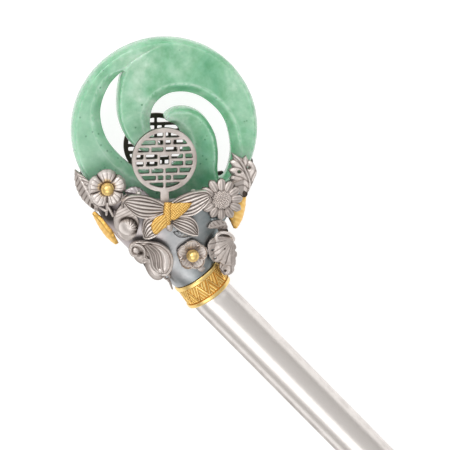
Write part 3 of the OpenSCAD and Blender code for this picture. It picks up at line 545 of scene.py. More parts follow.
materials = {
    "jade": carvedJadeite(),
    # Silver, lost-wax cast, oxidised and rubbed bright: warm grey with pale ridges and brown-black hollows
    "cast_silver": metalMaterial(
        "silver_cast_oxidised_and_rubbed",
        ridge="#ebe3de", face="#b9afa9", hollow="#524943",
        roughness=0.4, grain=0.22, grainDepth=0.3),
    # Silver sheet, raised and burnished: blue grey, under a painted shade that drifts from lavender on the
    # left to a darker teal on the right
    "satin_silver": metalMaterial(
        "silver_raised_and_burnished",
        ridge="#cfcac9", face="#bfbab9", hollow="#4a4846",
        roughness=0.3, grain=0.5, grainDepth=0.08,
        paintedShade=[(0.3, "#d6cacb"), (0.55, "#efecee"), (0.75, "#dfe6e9"), (1.0, "#9fb4b8")]),
    # Silver rod, drawn and buffed: near white, its long reflections slightly blurred
    "polished_silver": metalMaterial(
        "silver_drawn_and_buffed",
        ridge="#f0ebe7", face="#e8e2de", hollow="#8d8580",
        roughness=0.26, grain=0.6, grainDepth=0.02),
    # Silver, engraved and fire gilt: warm yellow with orange hollows
    "gilding": metalMaterial(
        "silver_fire_gilt",
        ridge="#f9d98f", face="#edbf69", hollow="#b17d38",
        roughness=0.28, grain=0.3, grainDepth=0.08),
    # The same gilding over punched ground: glitters in small pits
    "punched": metalMaterial(
        "silver_punched_and_gilt",
        ridge="#f6d68c", face="#e6b764", hollow="#a3722f",
        roughness=0.36, grain=0.34, grainDepth=0.7),
}
print("materials ready")


def addObject(name, data):
    made = bpy.data.objects.new(name, data)
    bpy.context.scene.collection.objects.link(made)
    return made


def setDeep(mesh, deep):  # how deep each point lies in the relief, with painted shade and painted highlight in places, which the materials read
    values = mesh.attributes.new("deep", "FLOAT", "POINT")
    values.data.foreach_set("value", deep.astype(np.float32))


# its material, the body that it rides on and the node that it stands for
def declare(piece, finish, node):
    piece.data.materials.clear()
    piece.data.materials.append(materials[finish])
    piece.data.shade_smooth()
    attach(piece, "root")
    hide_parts(node)


def makePiece(name, shell, finish, node, back=False, sharp=40):
    points, faces = np.concatenate(shell["points"]), shell["faces"]
    if back:  # the same piece on the other side of the disc
        points, faces = points * [1, 1, -1], [f[::-1] for f in faces]
    mesh = bpy.data.meshes.new(name)
    mesh.from_pydata(layDown(points).tolist(), [], faces)
    setDeep(mesh, np.concatenate(shell["deep"]))
    joined = bmesh.new()
    joined.from_mesh(mesh)
    bmesh.ops.remove_doubles(joined, verts=joined.verts, dist=2e-6)
    bmesh.ops.recalc_face_normals(joined, faces=joined.faces)
    joined.to_mesh(mesh)
    joined.free()
    declare(addObject(name, mesh), finish, node)
    mesh.set_sharp_from_angle(angle=math.radians(sharp))


def makeOrnament(side, made, node, shell, finish="cast_silver"):  # there is one on each face
    makePiece(f"{side}_{made}", shell, finish, f"{side}_{node}", side == "back")


# Jade disc

ringSide = [[-0.45, 0.66, 0.3], [-0.57, 0.55, 0.9], [-0.65, 0.41, 1], [-0.69, 0.27, 1], [-0.69, 0.14, 1],
            [-0.66, 0.01, 1], [-0.6, -0.12, 1], [-0.51, -0.24, 1], [-0.4, -0.35, 1], [-0.28, -0.43, 1],
            [-0.15, -0.455, 1], [-0.02, -0.44, 1], [0.1, -0.38, 1], [0.18, -0.29, 1], [0.21, -0.19, 1],
            [0.2, -0.1, 1], [0.16, 0, 0.8], [0.1, 0.07, 0.5]]
frondSide = [[0.03, 0.1, 0.15], [0, 0.13, 0.1], [0.02, 0.18, 0.15], [0.09, 0.225, 0.3], [0.18, 0.24, 0.4],
             [0.27, 0.23, 0.4], [0.36, 0.19, 0.4], [0.44, 0.12, 0.4], [0.5, 0.03, 0.4], [0.545, -0.07, 0.4],
             [0.57, -0.19, 0.4], [0.575, -0.31, 0.4], [0.57, -0.44, 0.4]]
outerSide = [[0.585, -0.54, 0.3], [0.64, -0.53, 0.4], [0.68, -0.46, 0.8], [0.71, -0.35, 1], [0.72, -0.23, 1],
             [0.705, -0.1, 1], [0.67, 0.04, 1], [0.6, 0.17, 1], [0.5, 0.28, 1], [0.38, 0.365, 1],
             [0.26, 0.41, 1], [0.14, 0.42, 1], [0.03, 0.4, 1], [-0.06, 0.345, 1], [-0.125, 0.265, 1],
             [-0.155, 0.16, 1], [-0.155, 0.05, 0.8], [-0.12, -0.06, 0.5], [-0.06, -0.15, 0.2]]
armSide = [[0.01, -0.215, 0.1], [-0.05, -0.25, 0.15], [-0.16, -0.245, 0.25], [-0.26, -0.21, 0.3],
           [-0.355, -0.14, 0.3], [-0.43, -0.04, 0.3], [-0.48, 0.08, 0.3], [-0.505, 0.2, 0.3],
           [-0.51, 0.33, 0.3], [-0.5, 0.46, 0.3], [-0.48, 0.57, 0.3]]
carvedLine = [[-0.46, 0.66], [-0.385, 0.75], [-0.28, 0.825], [-0.15, 0.895], [-0.06, 0.93], [0.03, 0.955]]


def rightOf(run):  # direction to the right of a path, from the way it runs
    return np.stack([run[:, 1], -run[:, 0]], -1) / np.linalg.norm(run, axis=1)[:, None]


def jadeDisc():
    rows = smoothLoop(ringSide + frondSide + outerSide + armSide)
    loop, share = rows[:, :2] * discR, np.clip(rows[:, 2], 0.05, 1.0)
    out = rightOf(np.roll(loop, -1, axis=0) - np.roll(loop, 1, axis=0))
    bevel = disc["carveBevel"] * share

    def openingAt(w):
        return loop + out * (bevel * w)[:, None]

    mouth = openingAt(1.0)
    a = np.linspace(0, 2 * np.pi, 260, endpoint=False)
    rimR = discR - disc["rimBevel"]
    rim = np.stack([np.cos(a), np.sin(a)], -1) * rimR
    line = along(carvedLine, np.linspace(0, 1, 90)) * discR
    lineOut = rightOf(np.gradient(line, axis=0))
    beside = np.concatenate([line + lineOut * d for d in (-0.45, -0.3, -0.15, 0, 0.15, 0.3, 0.45)])

    def stone(points):
        return (np.hypot(*points.T) < rimR) & ~inside(points, mouth)

    beside = beside[stone(beside) & (distance(beside, mouth) > 1)]
    edgeRows = np.concatenate([mouth + out * w for w in (0.18, 0.4, 0.7)])
    edgeRows = edgeRows[stone(edgeRows) & (distance(edgeRows, mouth) > 0.15)
                        & (np.hypot(*edgeRows.T) < rimR - 1)]
    rimRows = np.concatenate([rim * (1 - w / rimR) for w in (0.2, 0.45, 0.8)])
    rimRows = rimRows[stone(rimRows) & (distance(rimRows, mouth) > 0.9)]
    inner = hexPoints([-discR, -discR], [discR, discR], 0.55)
    inner = inner[stone(inner) & (np.hypot(*inner.T) < rimR - 1.1)]
    inner = inner[(distance(inner, mouth) > 0.95) & (distance(inner, line) > 0.6)]
    verts, tris, _ = fill([rim, mouth], np.concatenate([inner, beside, edgeRows, rimRows]), stone)
    toMouth = distance(verts, mouth)
    fade = ease(rimR - np.hypot(*verts.T), 0, 2) * ease(toMouth, 0.3, 2)
    toLine = np.hypot(verts[:, None, 0] - line[None, :, 0], verts[:, None, 1] - line[None, :, 1])
    nearest, toLine = toLine.argmin(1), toLine.min(1)
    tail = 1 - ease(nearest / len(line), 0.4, 1)
    outside = np.einsum("ij,ij->i", verts - line[nearest], lineOut[nearest]) < 0
    high = halfT + disc["waviness"] * ripple(verts[:, 0], verts[:, 1], scale=4.0) * fade
    high -= ease(toMouth, 0, 0.5) * tail * (disc["carvedLine"] * np.exp(-(toLine / 0.2) ** 2)
                                           + np.where(outside, 0, 0.1 * np.exp(-toLine / 1.2)))
    # painted highlight: paler colour along the openings' edges, the carved line and the rim's edge
    paintedHighlight = (0.55 * np.exp(-(toMouth / 0.3) ** 2)
            + 0.7 * tail * ease(toMouth, 0, 0.5) * np.exp(-(toLine / 0.2) ** 2))
    paintedHighlight = paintedHighlight + 0.3 * np.exp(-((rimR - np.hypot(*verts.T)) / 0.35) ** 2)
    shell = newShell()
    for side in (1, -1):
        start = addPoints(shell, np.column_stack([verts, side * high]), paintedHighlight)
        shell["faces"] += [tuple(start + v for v in (t if side == 1 else t[::-1])) for t in tris]
    # rim: a softened bevel each side of the straight edge
    q = np.linspace(0, 1, 7)
    bevelRing = [(rimR + disc["rimBevel"] * (k ** 0.8), halfT - disc["bevelDepth"] * (k ** 1.35)) for k in q]
    profile = bevelRing + [(r, -z) for r, z in bevelRing[::-1]]
    rings = [[(r * c, r * s, z) for c, s in zip(np.cos(a), np.sin(a))] for r, z in profile]
    addGrid(shell, np.array(rings), ring=True, flip=True)
    bevelCut = [(1 - k ** 0.85, halfT - disc["bevelDepth"] * (k ** 1.25)) for k in q]
    profile = bevelCut + [(w, -z) for w, z in bevelCut[::-1]]
    rings = [np.column_stack([openingAt(w), np.full(len(mouth), z)]) for w, z in profile]
    addGrid(shell, np.array(rings), ring=True)
    makePiece("jade_disc_carved", shell, "jade", "jade_disc", sharp=50)


jadeDisc()
print("jade disc carved")


# Cup, collar and shaft

def chasedLeaf(shell, row, behind):  # low leaf raised from the cup's wall, on the front or the back
    x0, y0, angle, length, width = row
    s, t = np.meshgrid(np.linspace(0, 1, 30), np.linspace(0, 1, 18), indexing="ij")
    w = along(cup["chasedEdge"], s)[..., 0] * width * (2 * t - 1)
    x = x0 + s * length * cosd(angle) - w * sind(angle)
    y = y0 + s * length * sind(angle) + w * cosd(angle)
    rib = np.exp(-((t - 0.5) / 0.05) ** 2)
    line = grooves(6 * s + 1.8 * np.abs(t - 0.5), 4)
    high = cupFront(x, y, 1) + 0.42 * np.sin(np.pi * t) ** 0.7 * np.sin(np.pi * (0.08 + 0.84 * s))
    high = high + 0.08 * rib - 0.06 * line
    top = np.stack([x, y, high], -1)
    part = newShell()
    addSheet(part, top, np.clip(0.12 + 0.3 * line - 0.1 * rib, 0, 1), 0.6)
    points = np.concatenate(part["points"])
    start = addPoints(shell, points * [1, 1, -1] if behind else points, np.concatenate(part["deep"]))
    shell["faces"] += [tuple(start + v for v in (f[::-1] if behind else f)) for f in part["faces"]]


def cupBody():
    sides, steps, hollows, lips = 144, 60, 10, 8  # points in a ring; rings outside, inside and on the lip
    turn, wall = -360 * np.arange(sides) / sides, cup["wall"]

    def rounded(wave, power):  # a cosine or sine drawn out towards a rounded square
        return np.sign(wave) * np.abs(wave) ** (2 / power)

    def outside(s):
        e = cupSection(np.array(s))
        x, z = rounded(cosd(turn), e[5]), rounded(sind(turn), e[5])
        return np.stack([e[0] + e[2] * x * cosd(e[4]), e[1] + e[2] * x * sind(e[4]) + lip(x, s),
                         e[3] * z], -1)

    def hollow(t, inset=1.0, lift=0.0):
        s = t * cup["floorShare"]
        e = cupSection(np.array(s))
        x, z = rounded(cosd(turn), e[5]), rounded(sind(turn), e[5])
        k = 1 - 0.5 * t ** 4
        y = cupTable[0][1] * discR * (1 - t) + (-discR - gap) * t + lift
        return np.stack([e[0] + (e[2] - wall * inset) * x * k, y + lip(x, s),
                         (e[3] - wall * inset) * z * k], -1)

    overLip = [hollow(0, 0.5 + 0.5 * math.cos(k), wall / 3 * math.sin(k))
               for k in np.linspace(0, math.pi, lips + 1)]
    within = [hollow(k / hollows) for k in range(hollows, 0, -1)] + overLip[:-1]
    rows = np.array(within + [outside(k / steps) for k in range(steps + 1)])
    dent = cup["dents"] * ripple(rows[..., 0], rows[..., 1], rows[..., 2], scale=2.6, seed=3)[..., None]
    middle = rows.mean(1, keepdims=True)
    rows = rows - dent * (rows - middle) / np.linalg.norm(rows - middle, axis=2)[..., None]
    shell = newShell()
    depth = np.concatenate([np.linspace(1, 0.5, hollows), np.zeros(lips), np.full(steps + 1, 0.12)])
    depth = depth[:, None] * np.ones(sides)
    seen = rows[len(within):]
    # painted shade: the cup's colour is darkened round each of these spots between the ornaments
    for x, y, r, dark in cup["paintedShadeSpots"]:
        depth[len(within):] += dark * np.exp(-((seen[..., 0] - x) ** 2 + (seen[..., 1] - y) ** 2) / r ** 2)
    start = addGrid(shell, rows, np.clip(depth, 0, 1), ring=True)
    addFan(shell, start, sides, rows[0].mean(0), 1.0, flip=True)
    addFan(shell, start + (len(rows) - 1) * sides, sides, rows[-1].mean(0), 0.3)
    neck = [neckTop + downward(collar["lean"]) * d for d in (-1.5, 0.5, gap + collar["height"])]
    addTube(shell, neck, collar["neck"] / 2, sides=64, deep=0.5)
    for row in cup["chased"]:
        chasedLeaf(shell, row, False)
        chasedLeaf(shell, row, True)
    makePiece("cup_raised", shell, "satin_silver", "cup", sharp=50)


# points round an axis that leans, angle 0 towards the front
def turnedPoints(top, lean, radius, down, angle):
    across = np.array([cosd(lean), sind(lean), 0])
    return (top + np.asarray(down)[..., None] * downward(lean)
            + (np.asarray(radius) * cosd(angle))[..., None] * np.array([0, 0, 1.0])
            + (np.asarray(radius) * sind(angle))[..., None] * across)


def collarBand():
    r, h, rim, lean = collar["diameter"] / 2, collar["height"], collar["rim"], collar["lean"]
    turns, rows, boreTurns = 576, 56, 96
    angle = np.linspace(0, 360, turns, endpoint=False)
    soft, low, tall = rim / 4, rim * 1.1, h - 2.2 * rim
    down = np.concatenate([[0, soft * 0.3, soft], np.linspace(rim * 0.5, rim, 4),
                           np.linspace(rim + 0.06, h - rim - 0.06, rows),
                           np.linspace(h - rim, h - rim * 0.5, 4), [h - soft, h - soft * 0.3, h]])
    a, d = np.meshgrid(angle, down)
    wide = 2 * np.pi * (r - collar["panelDepth"]) / collar["triangles"]
    u = (a / 360 * collar["triangles"] + 0.5) % 1 - 0.5  # across one triangle, -0.5 to 0.5
    v = np.clip((d - low) / tall, 0, 1)  # down the panel
    sideUp = 0.5 * (1 - v) - np.abs(u)  # positive inside the upright triangle
    flank = math.atan2(tall, wide / 2)
    # lines run along one flank inside the upright triangles and along the other between them
    upLines = u * wide * math.sin(flank) + v * tall * math.cos(flank)
    downLines = np.where(u > 0, u - 0.5, u + 0.5) * wide * math.sin(flank) - v * tall * math.cos(flank)
    hatch = grooves(np.where(sideUp > 0, upLines, downLines) / collar["hatch"], 1)
    border = np.abs(sideUp) * wide * math.sin(flank)  # mm to the zigzag line
    raised = np.where(border < collar["border"], 1.0,
                      np.where(border < 2 * collar["border"], 0.0, hatch ** 0.8))
    raised = raised * ease(v, 0.0, 0.04) * (1 - ease(v, 0.96, 1.0))
    inRim = (d <= rim) | (d >= h - rim)
    corner = np.maximum(0, 1 - np.minimum(d, h - d) / soft)
    radius = np.where(inRim, r - collar["rimRound"] * corner ** 2,
                      r - collar["floor"] + collar["ridge"] * raised)
    radius = radius + 0.015 * ripple(a / 9, d, scale=0.8)
    shell = newShell()
    addGrid(shell, turnedPoints(collarTop, lean, radius, d, a),
            np.where(inRim, 0.0, 0.1 + 0.5 * (1 - raised) ** 1.5), ring=True)
    bore = collar["neck"] / 2 + gap
    for at, outside in ((0.0, 0), (h, (len(down) - 1) * turns)):
        end = turnedPoints(collarTop, lean, np.full(turns, bore), np.full(turns, at), angle)
        edge = addPoints(shell, end, 0.5)
        addWall(shell, range(outside, outside + turns), range(edge, edge + turns), flip=at == 0)
    few = np.linspace(0, 360, boreTurns, endpoint=False)
    inner = [turnedPoints(collarTop, lean, np.full(boreTurns, bore), np.full(boreTurns, x), few)
             for x in (h, 0.0)]
    addGrid(shell, np.array(inner), 0.8, ring=True)
    makePiece("collar_engraved", shell, "gilding", "collar", sharp=60)


def shaftRod():
    sides = 160
    angle = np.linspace(0, 360, sides, endpoint=False)
    r, end, tipR = shaft["diameter"] / 2, shaft["straight"] + shaft["taper"], shaft["tip"] / 2
    miter = math.tan(math.radians(shaft["lean"] - collar["lean"]))  # the top is cut to the collar's lean
    top = np.linspace(0, 1, 9)
    down = list(shaft["easeLength"] * top)
    radius = list(r - shaft["easeDepth"] * (0.5 + 0.5 * np.cos(np.pi * top)))
    for k in np.linspace(0.04, 1, 24):
        down.append(shaft["easeLength"] + (shaft["straight"] - shaft["easeLength"]) * k)
        radius.append(r)
    for k in np.linspace(0.04, 1, 25):
        down.append(shaft["straight"] + (shaft["taper"] - tipL) * k)
        radius.append(r + (tipR - r) * k)
    for k in range(8, 91, 8):  # rounded tip
        down.append(end - tipL * (1 - sind(k)))
        radius.append(tipR * cosd(k))
    a, d = np.meshgrid(angle, down)
    rr = np.array(radius)[:, None] * np.ones(sides)
    d[:9] += (1 - top[:, None]) * rr[:9] * sind(angle) * miter
    # painted shade: darker from the sides round to the back, most on the left, with the front left brightest
    paintedShade = 0.08 + 0.52 * ease(np.abs((a + 180) % 360 - 180), 42, 66) * (0.78 - 0.26 * sind(a))
    shell = newShell()
    start = addGrid(shell, turnedPoints(shaftTop, shaft["lean"], rr, d, a), paintedShade, ring=True)
    addFan(shell, start, sides, shaftTop, 0.3, flip=True)
    addFan(shell, start + (len(down) - 1) * sides, sides, shaftTop + shaftRun * end, 0.1)
    makePiece("shaft_rod", shell, "polished_silver", "shaft", sharp=50)


cupBody()
collarBand()
shaftRod()
print("cup, collar and shaft made")


# Roundels: round windows of bars, the solid's own shape with soft cast edges

def roundelPlate(side):
    node = side + "_roundel"
    piece = addObject(node + "_cast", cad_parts[node].data.copy())
    remesh = piece.modifiers.new("soften", "REMESH")
    remesh.mode = "VOXEL"
    remesh.voxel_size = roundel["softEdge"] / 1000
    soften = piece.modifiers.new("rub", "SMOOTH")
    soften.factor, soften.iterations = 0.5, 2
    mesh = bpy.data.meshes.new_from_object(piece.evaluated_get(bpy.context.evaluated_depsgraph_get()))
    piece.modifiers.clear()
    piece.data = mesh
    points = np.array([v.co for v in mesh.vertices]) * 1000
    # painted shade: the bars darken towards the disc, so their sides and the face towards it take the hollow
    # colour; the back roundel, seen through the disc's openings by that face, comes out dark
    high = np.abs((points + rowMiddle) @ rowTurn[:, 2])  # in the head's frame: distance from the disc's plane
    setDeep(mesh, 1 - 0.8 * ease(high, roundelZ + 0.35, roundelZ + roundel["thick"] - 0.03))
    declare(piece, "cast_silver", node)


# What several ornaments share

# wire that follows an ornament's face
def wire(shell, place, rows, lift, radii, count=40, deep=0.12, sides=16):
    path = along(rows, np.linspace(0, 1, count)) + centre(place)
    high = face(path[:, 0], path[:, 1], place, np.linspace(*lift, count))
    addTube(shell, np.column_stack([path, high]), np.linspace(*radii, count), sides, deep)


def ringRows(x, y, r):  # path of a small open ring
    a = np.radians(np.linspace(0, 345, 24))
    return np.column_stack([x + r * np.cos(a), y + r * np.sin(a)])


# sheet cut to an outline round its place; relief(x, y, edge) has x and y in mm from there, and gives the
# sheet's own height and how deep it lies in the relief
def cutLeaf(shell, place, outline, relief, step, holes=(), steps=6, spin=np.eye(2)):
    at = centre(place)
    a = np.linspace(0, 2 * np.pi, 20, endpoint=False)
    pierced = [np.column_stack([x + r * np.cos(a), y + r * 0.85 * np.sin(a)]) @ spin + at
               for x, y, r in holes]

    def lifted(x, y, edge):
        own, deep = relief(x - at[0], y - at[1], edge)
        return face(x, y, place, own), deep

    cutSheet(shell, smoothLoop(outline, steps) @ spin + at, lifted, pierced, step)


def addPeg(shell, place, d=1.5):  # short peg from the cup up to an ornament
    x, y = centre(place)
    spots = ((0, 0), (1, 0), (-1, 0), (0, 1), (0, -1))
    foot = gap + max(float(under(x + dx * d / 2, y + dy * d / 2)) for dx, dy in spots)
    top = faceAt(x, y, place) - sheetT / 2
    if top > foot:
        addTube(shell, [[x, y, z] for z in np.linspace(foot + d / 4, top, 3)], d / 2, sides=20, deep=0.8)


def moved(place, shift):
    return [place[0] + shift[0], place[1] + shift[1]] + list(place[2:])


def placeOn(side, part):  # a few ornaments lie a little elsewhere on the back
    return moved(part["place"], part["backShift"] if side == "back" else (0, 0))


def goldBead(side, flower, place, d):
    shell = newShell()
    x, y = centre(place)
    z = faceAt(x, y, place) + 2 * gap + d * 0.2
    rows, count = 26, 48
    a = np.linspace(0, 2 * np.pi, count, endpoint=False)
    b = np.radians(np.linspace(3, 114, rows))  # from its top to where it sinks into the flower
    ball = np.stack([np.outer(np.sin(b), np.cos(a)), np.outer(np.sin(b), np.sin(a)),
                     np.outer(np.cos(b), np.ones(count))], -1)
    dents = 1 - 0.012 * (1 + ripple(ball[..., 0], ball[..., 1], ball[..., 2], 0.5))
    ball = ball * (d / 2 * dents[..., None])
    low = np.outer(ease(b, 1.5, 2.0), np.ones(count))
    start = addGrid(shell, ball + [x, y, z], low, ring=True, flip=True)
    addFan(shell, start, count, [x, y, z + d / 2 * 0.985], 0)
    addFan(shell, start + (rows - 1) * count, count, [x, y, z + ball[-1, 0, 2]], 1, flip=True)
    makeOrnament(side, flower + "_pearl", flower + "_bead", shell, "gilding")


# Flowers

blossom = {"place": [-0.66, -0.55, stand + 0.1, 0, -0.05, 0.05], "diameter": 8.4, "turn": 18, "flutes": 4,
           "bead": 2.9,
           "stems": [[[0.1, -3.2], [0.1, -4.6], [0.0, -6.2]],
                     [[0.0, -5.2], [-0.9, -4.7], [-1.9, -4.0]],
                     [[0.3, -4.2], [0.9, -5.3], [1.4, -6.4]]]}
daisy = {"place": [0.57, -0.71, 1.43 * stand, 0.15, 0, 0], "backShift": (0, -0.05), "diameter": 9.6,
         "petals": 12, "petalLength": 0.65, "petalWidth": 0.39,  # shares of its radius
         "petal": [[-0.12, 0.12], [-0.3, 0.3], [-0.43, 0.43], [-0.5, 0.5], [-0.5, 0.5], [-0.43, 0.43],
                   [-0.14, 0.14]],
         "domeR": 0.215, "domeH": 0.1, "grains": 150, "grainR": 0.18}
plum = {"place": [0.26, -1.32, 0.6 * stand, 0.2, 0, 0], "diameter": 6.8, "turn": 18, "rim": 0.34,
        "bead": 2.784, "petals": 5, "petalLength": 0.86, "petalWidth": 1.08,
        "petal": [[-0.14, 0.14], [-0.36, 0.36], [-0.48, 0.48], [-0.52, 0.52], [-0.47, 0.47], [-0.34, 0.34],
                  [-0.1, 0.1]],
        "leaf": [[0.9, -2.6], [0.9, -2.6], [2.1, -2.5], [3.0, -3.2], [3.0, -3.2], [2.3, -4.0], [1.4, -3.7]]}


def blossomFlower(side):
    place, r = blossom["place"], blossom["diameter"] / 2
    px, py = centre(place)
    shell = newShell()
    rings, count = 40, 260
    a = np.linspace(0, 360, count, endpoint=False)
    turn = 2.5 * (a - blossom["turn"])
    lobe = np.abs(cosd(turn))
    flute = np.abs(sind(turn * blossom["flutes"]))  # grooves where this falls to 0
    k = (np.arange(1, rings + 1) / rings) ** 0.8
    reach = r * (0.79 + 0.2 * lobe ** 0.45 + 0.015 * flute ** 0.7)
    flat = k[:, None] * reach
    x, y = px + flat * cosd(a), py + flat * sind(a)
    puff = np.sin(np.pi * np.clip((k - 0.28) / 0.86, 0, 1))[:, None] ** 0.6
    cut = (1 - flute) ** 2.2 * (ease(k, 0.3, 0.5) * (1 - 0.85 * ease(k, 0.8, 0.97)))[:, None]
    split = (1 - lobe) ** 4 * ease(k, 0.35, 0.6)[:, None]
    own = puff * (0.5 + 0.5 * lobe ** 0.5) - 0.09 * cut - 0.3 * split - 0.4 * ease(k, 0.86, 1.0)[:, None]
    hub, brink = 0.5 * (1 - ease(k, 0.34, 0.46))[:, None], 0.15 * ease(k, 0.95, 1)[:, None]
    deep = 0.34 * cut + 0.4 * split + hub + 0.12 * (1 - puff) + brink
    top = np.stack([x, y, face(x, y, place, own)], -1)
    start = addGrid(shell, top, np.clip(deep, 0, 1), ring=True)
    addFan(shell, start, count, [px, py, faceAt(px, py, place)], 1, flip=True)
    lower = [top[-1] - [0, 0, sheetT], top[rings // 3] - [0, 0, sheetT + 0.1]]
    closeBelow(shell, start + (rings - 1) * count, lower, 0.8)
    addPeg(shell, moved(place, (0.02, -0.12)))
    for n, stem in enumerate(blossom["stems"]):  # forked stems below it
        wire(shell, place, stem, (-0.35, -0.85), (0.42 - 0.1 * (n > 0), 0.24), 18, deep=0.2, sides=14)
    makeOrnament(side, "blossom_fluted", "blossom", shell)
    goldBead(side, "blossom", place, blossom["bead"])


def daisyFlower(side):
    place, r = placeOn(side, daisy), daisy["diameter"] / 2
    px, py = centre(place)
    shell = newShell()
    for n in range(daisy["petals"]):
        long = r * (daisy["petalLength"] + 0.03 * math.sin(5.3 * n))

        def relief(s, t, e):
            ridge = np.exp(-((t - 0.5) / 0.07) ** 2) * ease(s, 0.15, 0.35) * (1 - ease(s, 0.8, 0.95))
            groove = np.exp(-((np.abs(t - 0.5) - 0.17) / 0.07) ** 2) * np.sin(np.pi * s) ** 0.6
            own = 0.32 * np.sin(np.pi * t) ** 0.8 + 0.3 * np.sin(np.pi * np.minimum(s * 0.9 + 0.1, 1))
            own = own - 0.3 * (0.3 + 0.7 * s) ** 2 + 0.04 * ridge - 0.03 * groove + 0.05 * (n % 2)
            return own, 0.16 + 0.3 * groove + 0.5 * (1 - ease(e, 0, 0.14)) + 0.7 * (1 - ease(s, 0, 0.3))

        edges = bladeEdges(360 / daisy["petals"] * n, long, daisy["petalWidth"] * r, daisy["petal"],
                           back=-0.5)
        sheetBetween(shell, place, *edges, relief, rows=26, cols=16, thick=0.8 * sheetT)
    rings, count = 8, 96
    a = np.linspace(0, 360, count, endpoint=False)  # plate behind the petals
    k = np.linspace(0.15, 0.62, rings)[:, None]
    x, y = px + k * r * cosd(a), py + k * r * sind(a)
    top = np.stack([x, y, face(x, y, place, -0.25)], -1)
    start = addGrid(shell, top, 0.9, ring=True)
    addFan(shell, start, count, top[0].mean(0), 0.9, flip=True)
    closeBelow(shell, start + (rings - 1) * count, top[::-1] - [0, 0, 0.4], 1.0)
    foot = faceAt(px, py, place) - 0.1
    domeR, domeH = daisy["domeR"] * daisy["diameter"], daisy["domeH"] * daisy["diameter"]
    addBall(shell, [px, py, foot], domeR, sides=48, rows=18, squash=domeH / domeR, deep=0.4)
    for n in range(daisy["grains"]):  # granules soldered over the dome
        h = 1 - 0.96 * (n + 0.5) / daisy["grains"]
        ring, turn = math.sqrt(1 - h * h), n * 137.508  # the golden angle spreads them evenly
        spot = [px + domeR * ring * cosd(turn), py + domeR * ring * sind(turn), foot + domeH * h]
        addBall(shell, spot, daisy["grainR"] + 0.012 * math.sin(n * 2.7), sides=9, rows=6)
    addPeg(shell, place)
    makeOrnament(side, "daisy_granulated", "daisy", shell)


def plumFlower(side):
    place, r = plum["place"], plum["diameter"] / 2
    px, py = centre(place)
    shell = newShell()
    for n in range(plum["petals"]):
        def relief(s, t, e):
            rim = np.exp(-((e - 0.2) / plum["rim"]) ** 2 * 1.4) * ease(s, 0.12, 0.4)
            line = grooves(6 * t, 4) * ease(s, 0.2, 0.4) * (1 - ease(s, 0.6, 0.9)) * (1 - rim)
            own = 0.25 * s + 0.55 * rim - 0.04 * line + 0.03 * (n % 2)
            return own, 0.36 * (1 - rim) * (1 - 0.7 * ease(s, 0.25, 0.7)) + 0.25 * line + 0.02

        edges = bladeEdges(plum["turn"] + 360 / plum["petals"] * n, plum["petalLength"] * r,
                           plum["petalWidth"] * r, plum["petal"], back=-0.17)
        sheetBetween(shell, place, *edges, relief, rows=34, cols=34, thick=0.9 * sheetT)

    def tucked(x, y, edge):  # small leaf tucked under the petals
        line = np.exp(-((x * 0.52 + (y + 3.2) * 0.85) / 0.12) ** 2)
        return 0.2 * ease(edge, 0, 0.6) - 0.35 - 0.06 * line, 0.2 + 0.4 * line

    cutLeaf(shell, place, plum["leaf"], tucked, 0.16)
    addBall(shell, [px, py, faceAt(px, py, place) - 0.35], 0.42 * r, squash=0.3, deep=0.8)
    addPeg(shell, place)
    makeOrnament(side, "plum_cupped", "plum", shell)
    goldBead(side, "plum", place, plum["bead"])


# Butterfly: wings between two edges that run from the body to each tip, in mm from its place

bodyFoot = float(cupFront(butterfly["x"] * discR, butterfly["y"] * discR, cup["bendLimit"]))
butterflyPlace = [butterfly["x"], butterfly["y"], butterflyZ - gap - bodyFoot, 0, 0, 0]
wings = [
    {"low": [[-0.2, 0.9], [-2.7, -0.2], [-4.8, -0.4], [-6.6, 0.1], [-8.3, 1.4], [-9.9, 3.5]],
     "high": [[-0.3, 2.4], [-3.0, 4.0], [-5.4, 4.8], [-6.9, 5.0], [-8.6, 4.8], [-10.0, 3.9]]},
    {"low": [[0.2, 0.8], [2.8, -0.1], [5.2, 0.0], [7.2, 1.2], [8.6, 2.7], [9.2, 4.3]],
     "high": [[0.2, 2.7], [2.4, 4.3], [4.4, 5.1], [6.2, 5.5], [8.0, 5.5], [9.1, 4.7]]},
    {"low": [[-0.2, 0.2], [-2.5, 0.6], [-4.4, 0.1], [-5.4, -0.9], [-5.7, -2.8], [-5.4, -4.6]],
     "high": [[0.1, -1.4], [-1.3, -2.9], [-2.6, -4.2], [-3.5, -4.7], [-4.4, -4.9], [-5.2, -4.8]]},
    {"low": [[0.2, -1.5], [1.7, -2.9], [3.0, -3.7], [4.3, -4.2], [5.4, -4.5], [6.2, -4.6]],
     "high": [[0.4, 0.0], [3.0, 0.1], [4.9, -0.3], [6.0, -1.3], [6.5, -2.9], [6.4, -4.4]]},
]
gilded = {  # bodyRows: middle x and y, half width
    "bodyRows": [[-0.15, 3.2, 0.7], [-0.15, 3.05, 0.84], [-0.15, 2.0, 0.92], [-0.2, 0.8, 1.02],
                 [-0.25, -0.4, 1.02], [-0.45, -1.4, 0.92], [-0.6, -2.1, 0.7], [-0.65, -2.4, 0.4]],
    "right": [[0.4, 3.0], [0.4, 3.0], [2.6, 3.1], [4.9, 2.95], [4.9, 2.95], [4.1, 1.6], [2.9, 0.5],
              [1.3, -0.6], [0.4, -0.5], [0.4, -0.5]],
    "left": [[-0.6, 0.7], [-0.6, 0.7], [-2.3, 0.3], [-3.3, -0.5], [-3.85, -1.9], [-3.4, -3.3],
             [-2.6, -3.6], [-1.6, -2.8], [-0.4, -1.9], [-0.4, -1.9]],
}


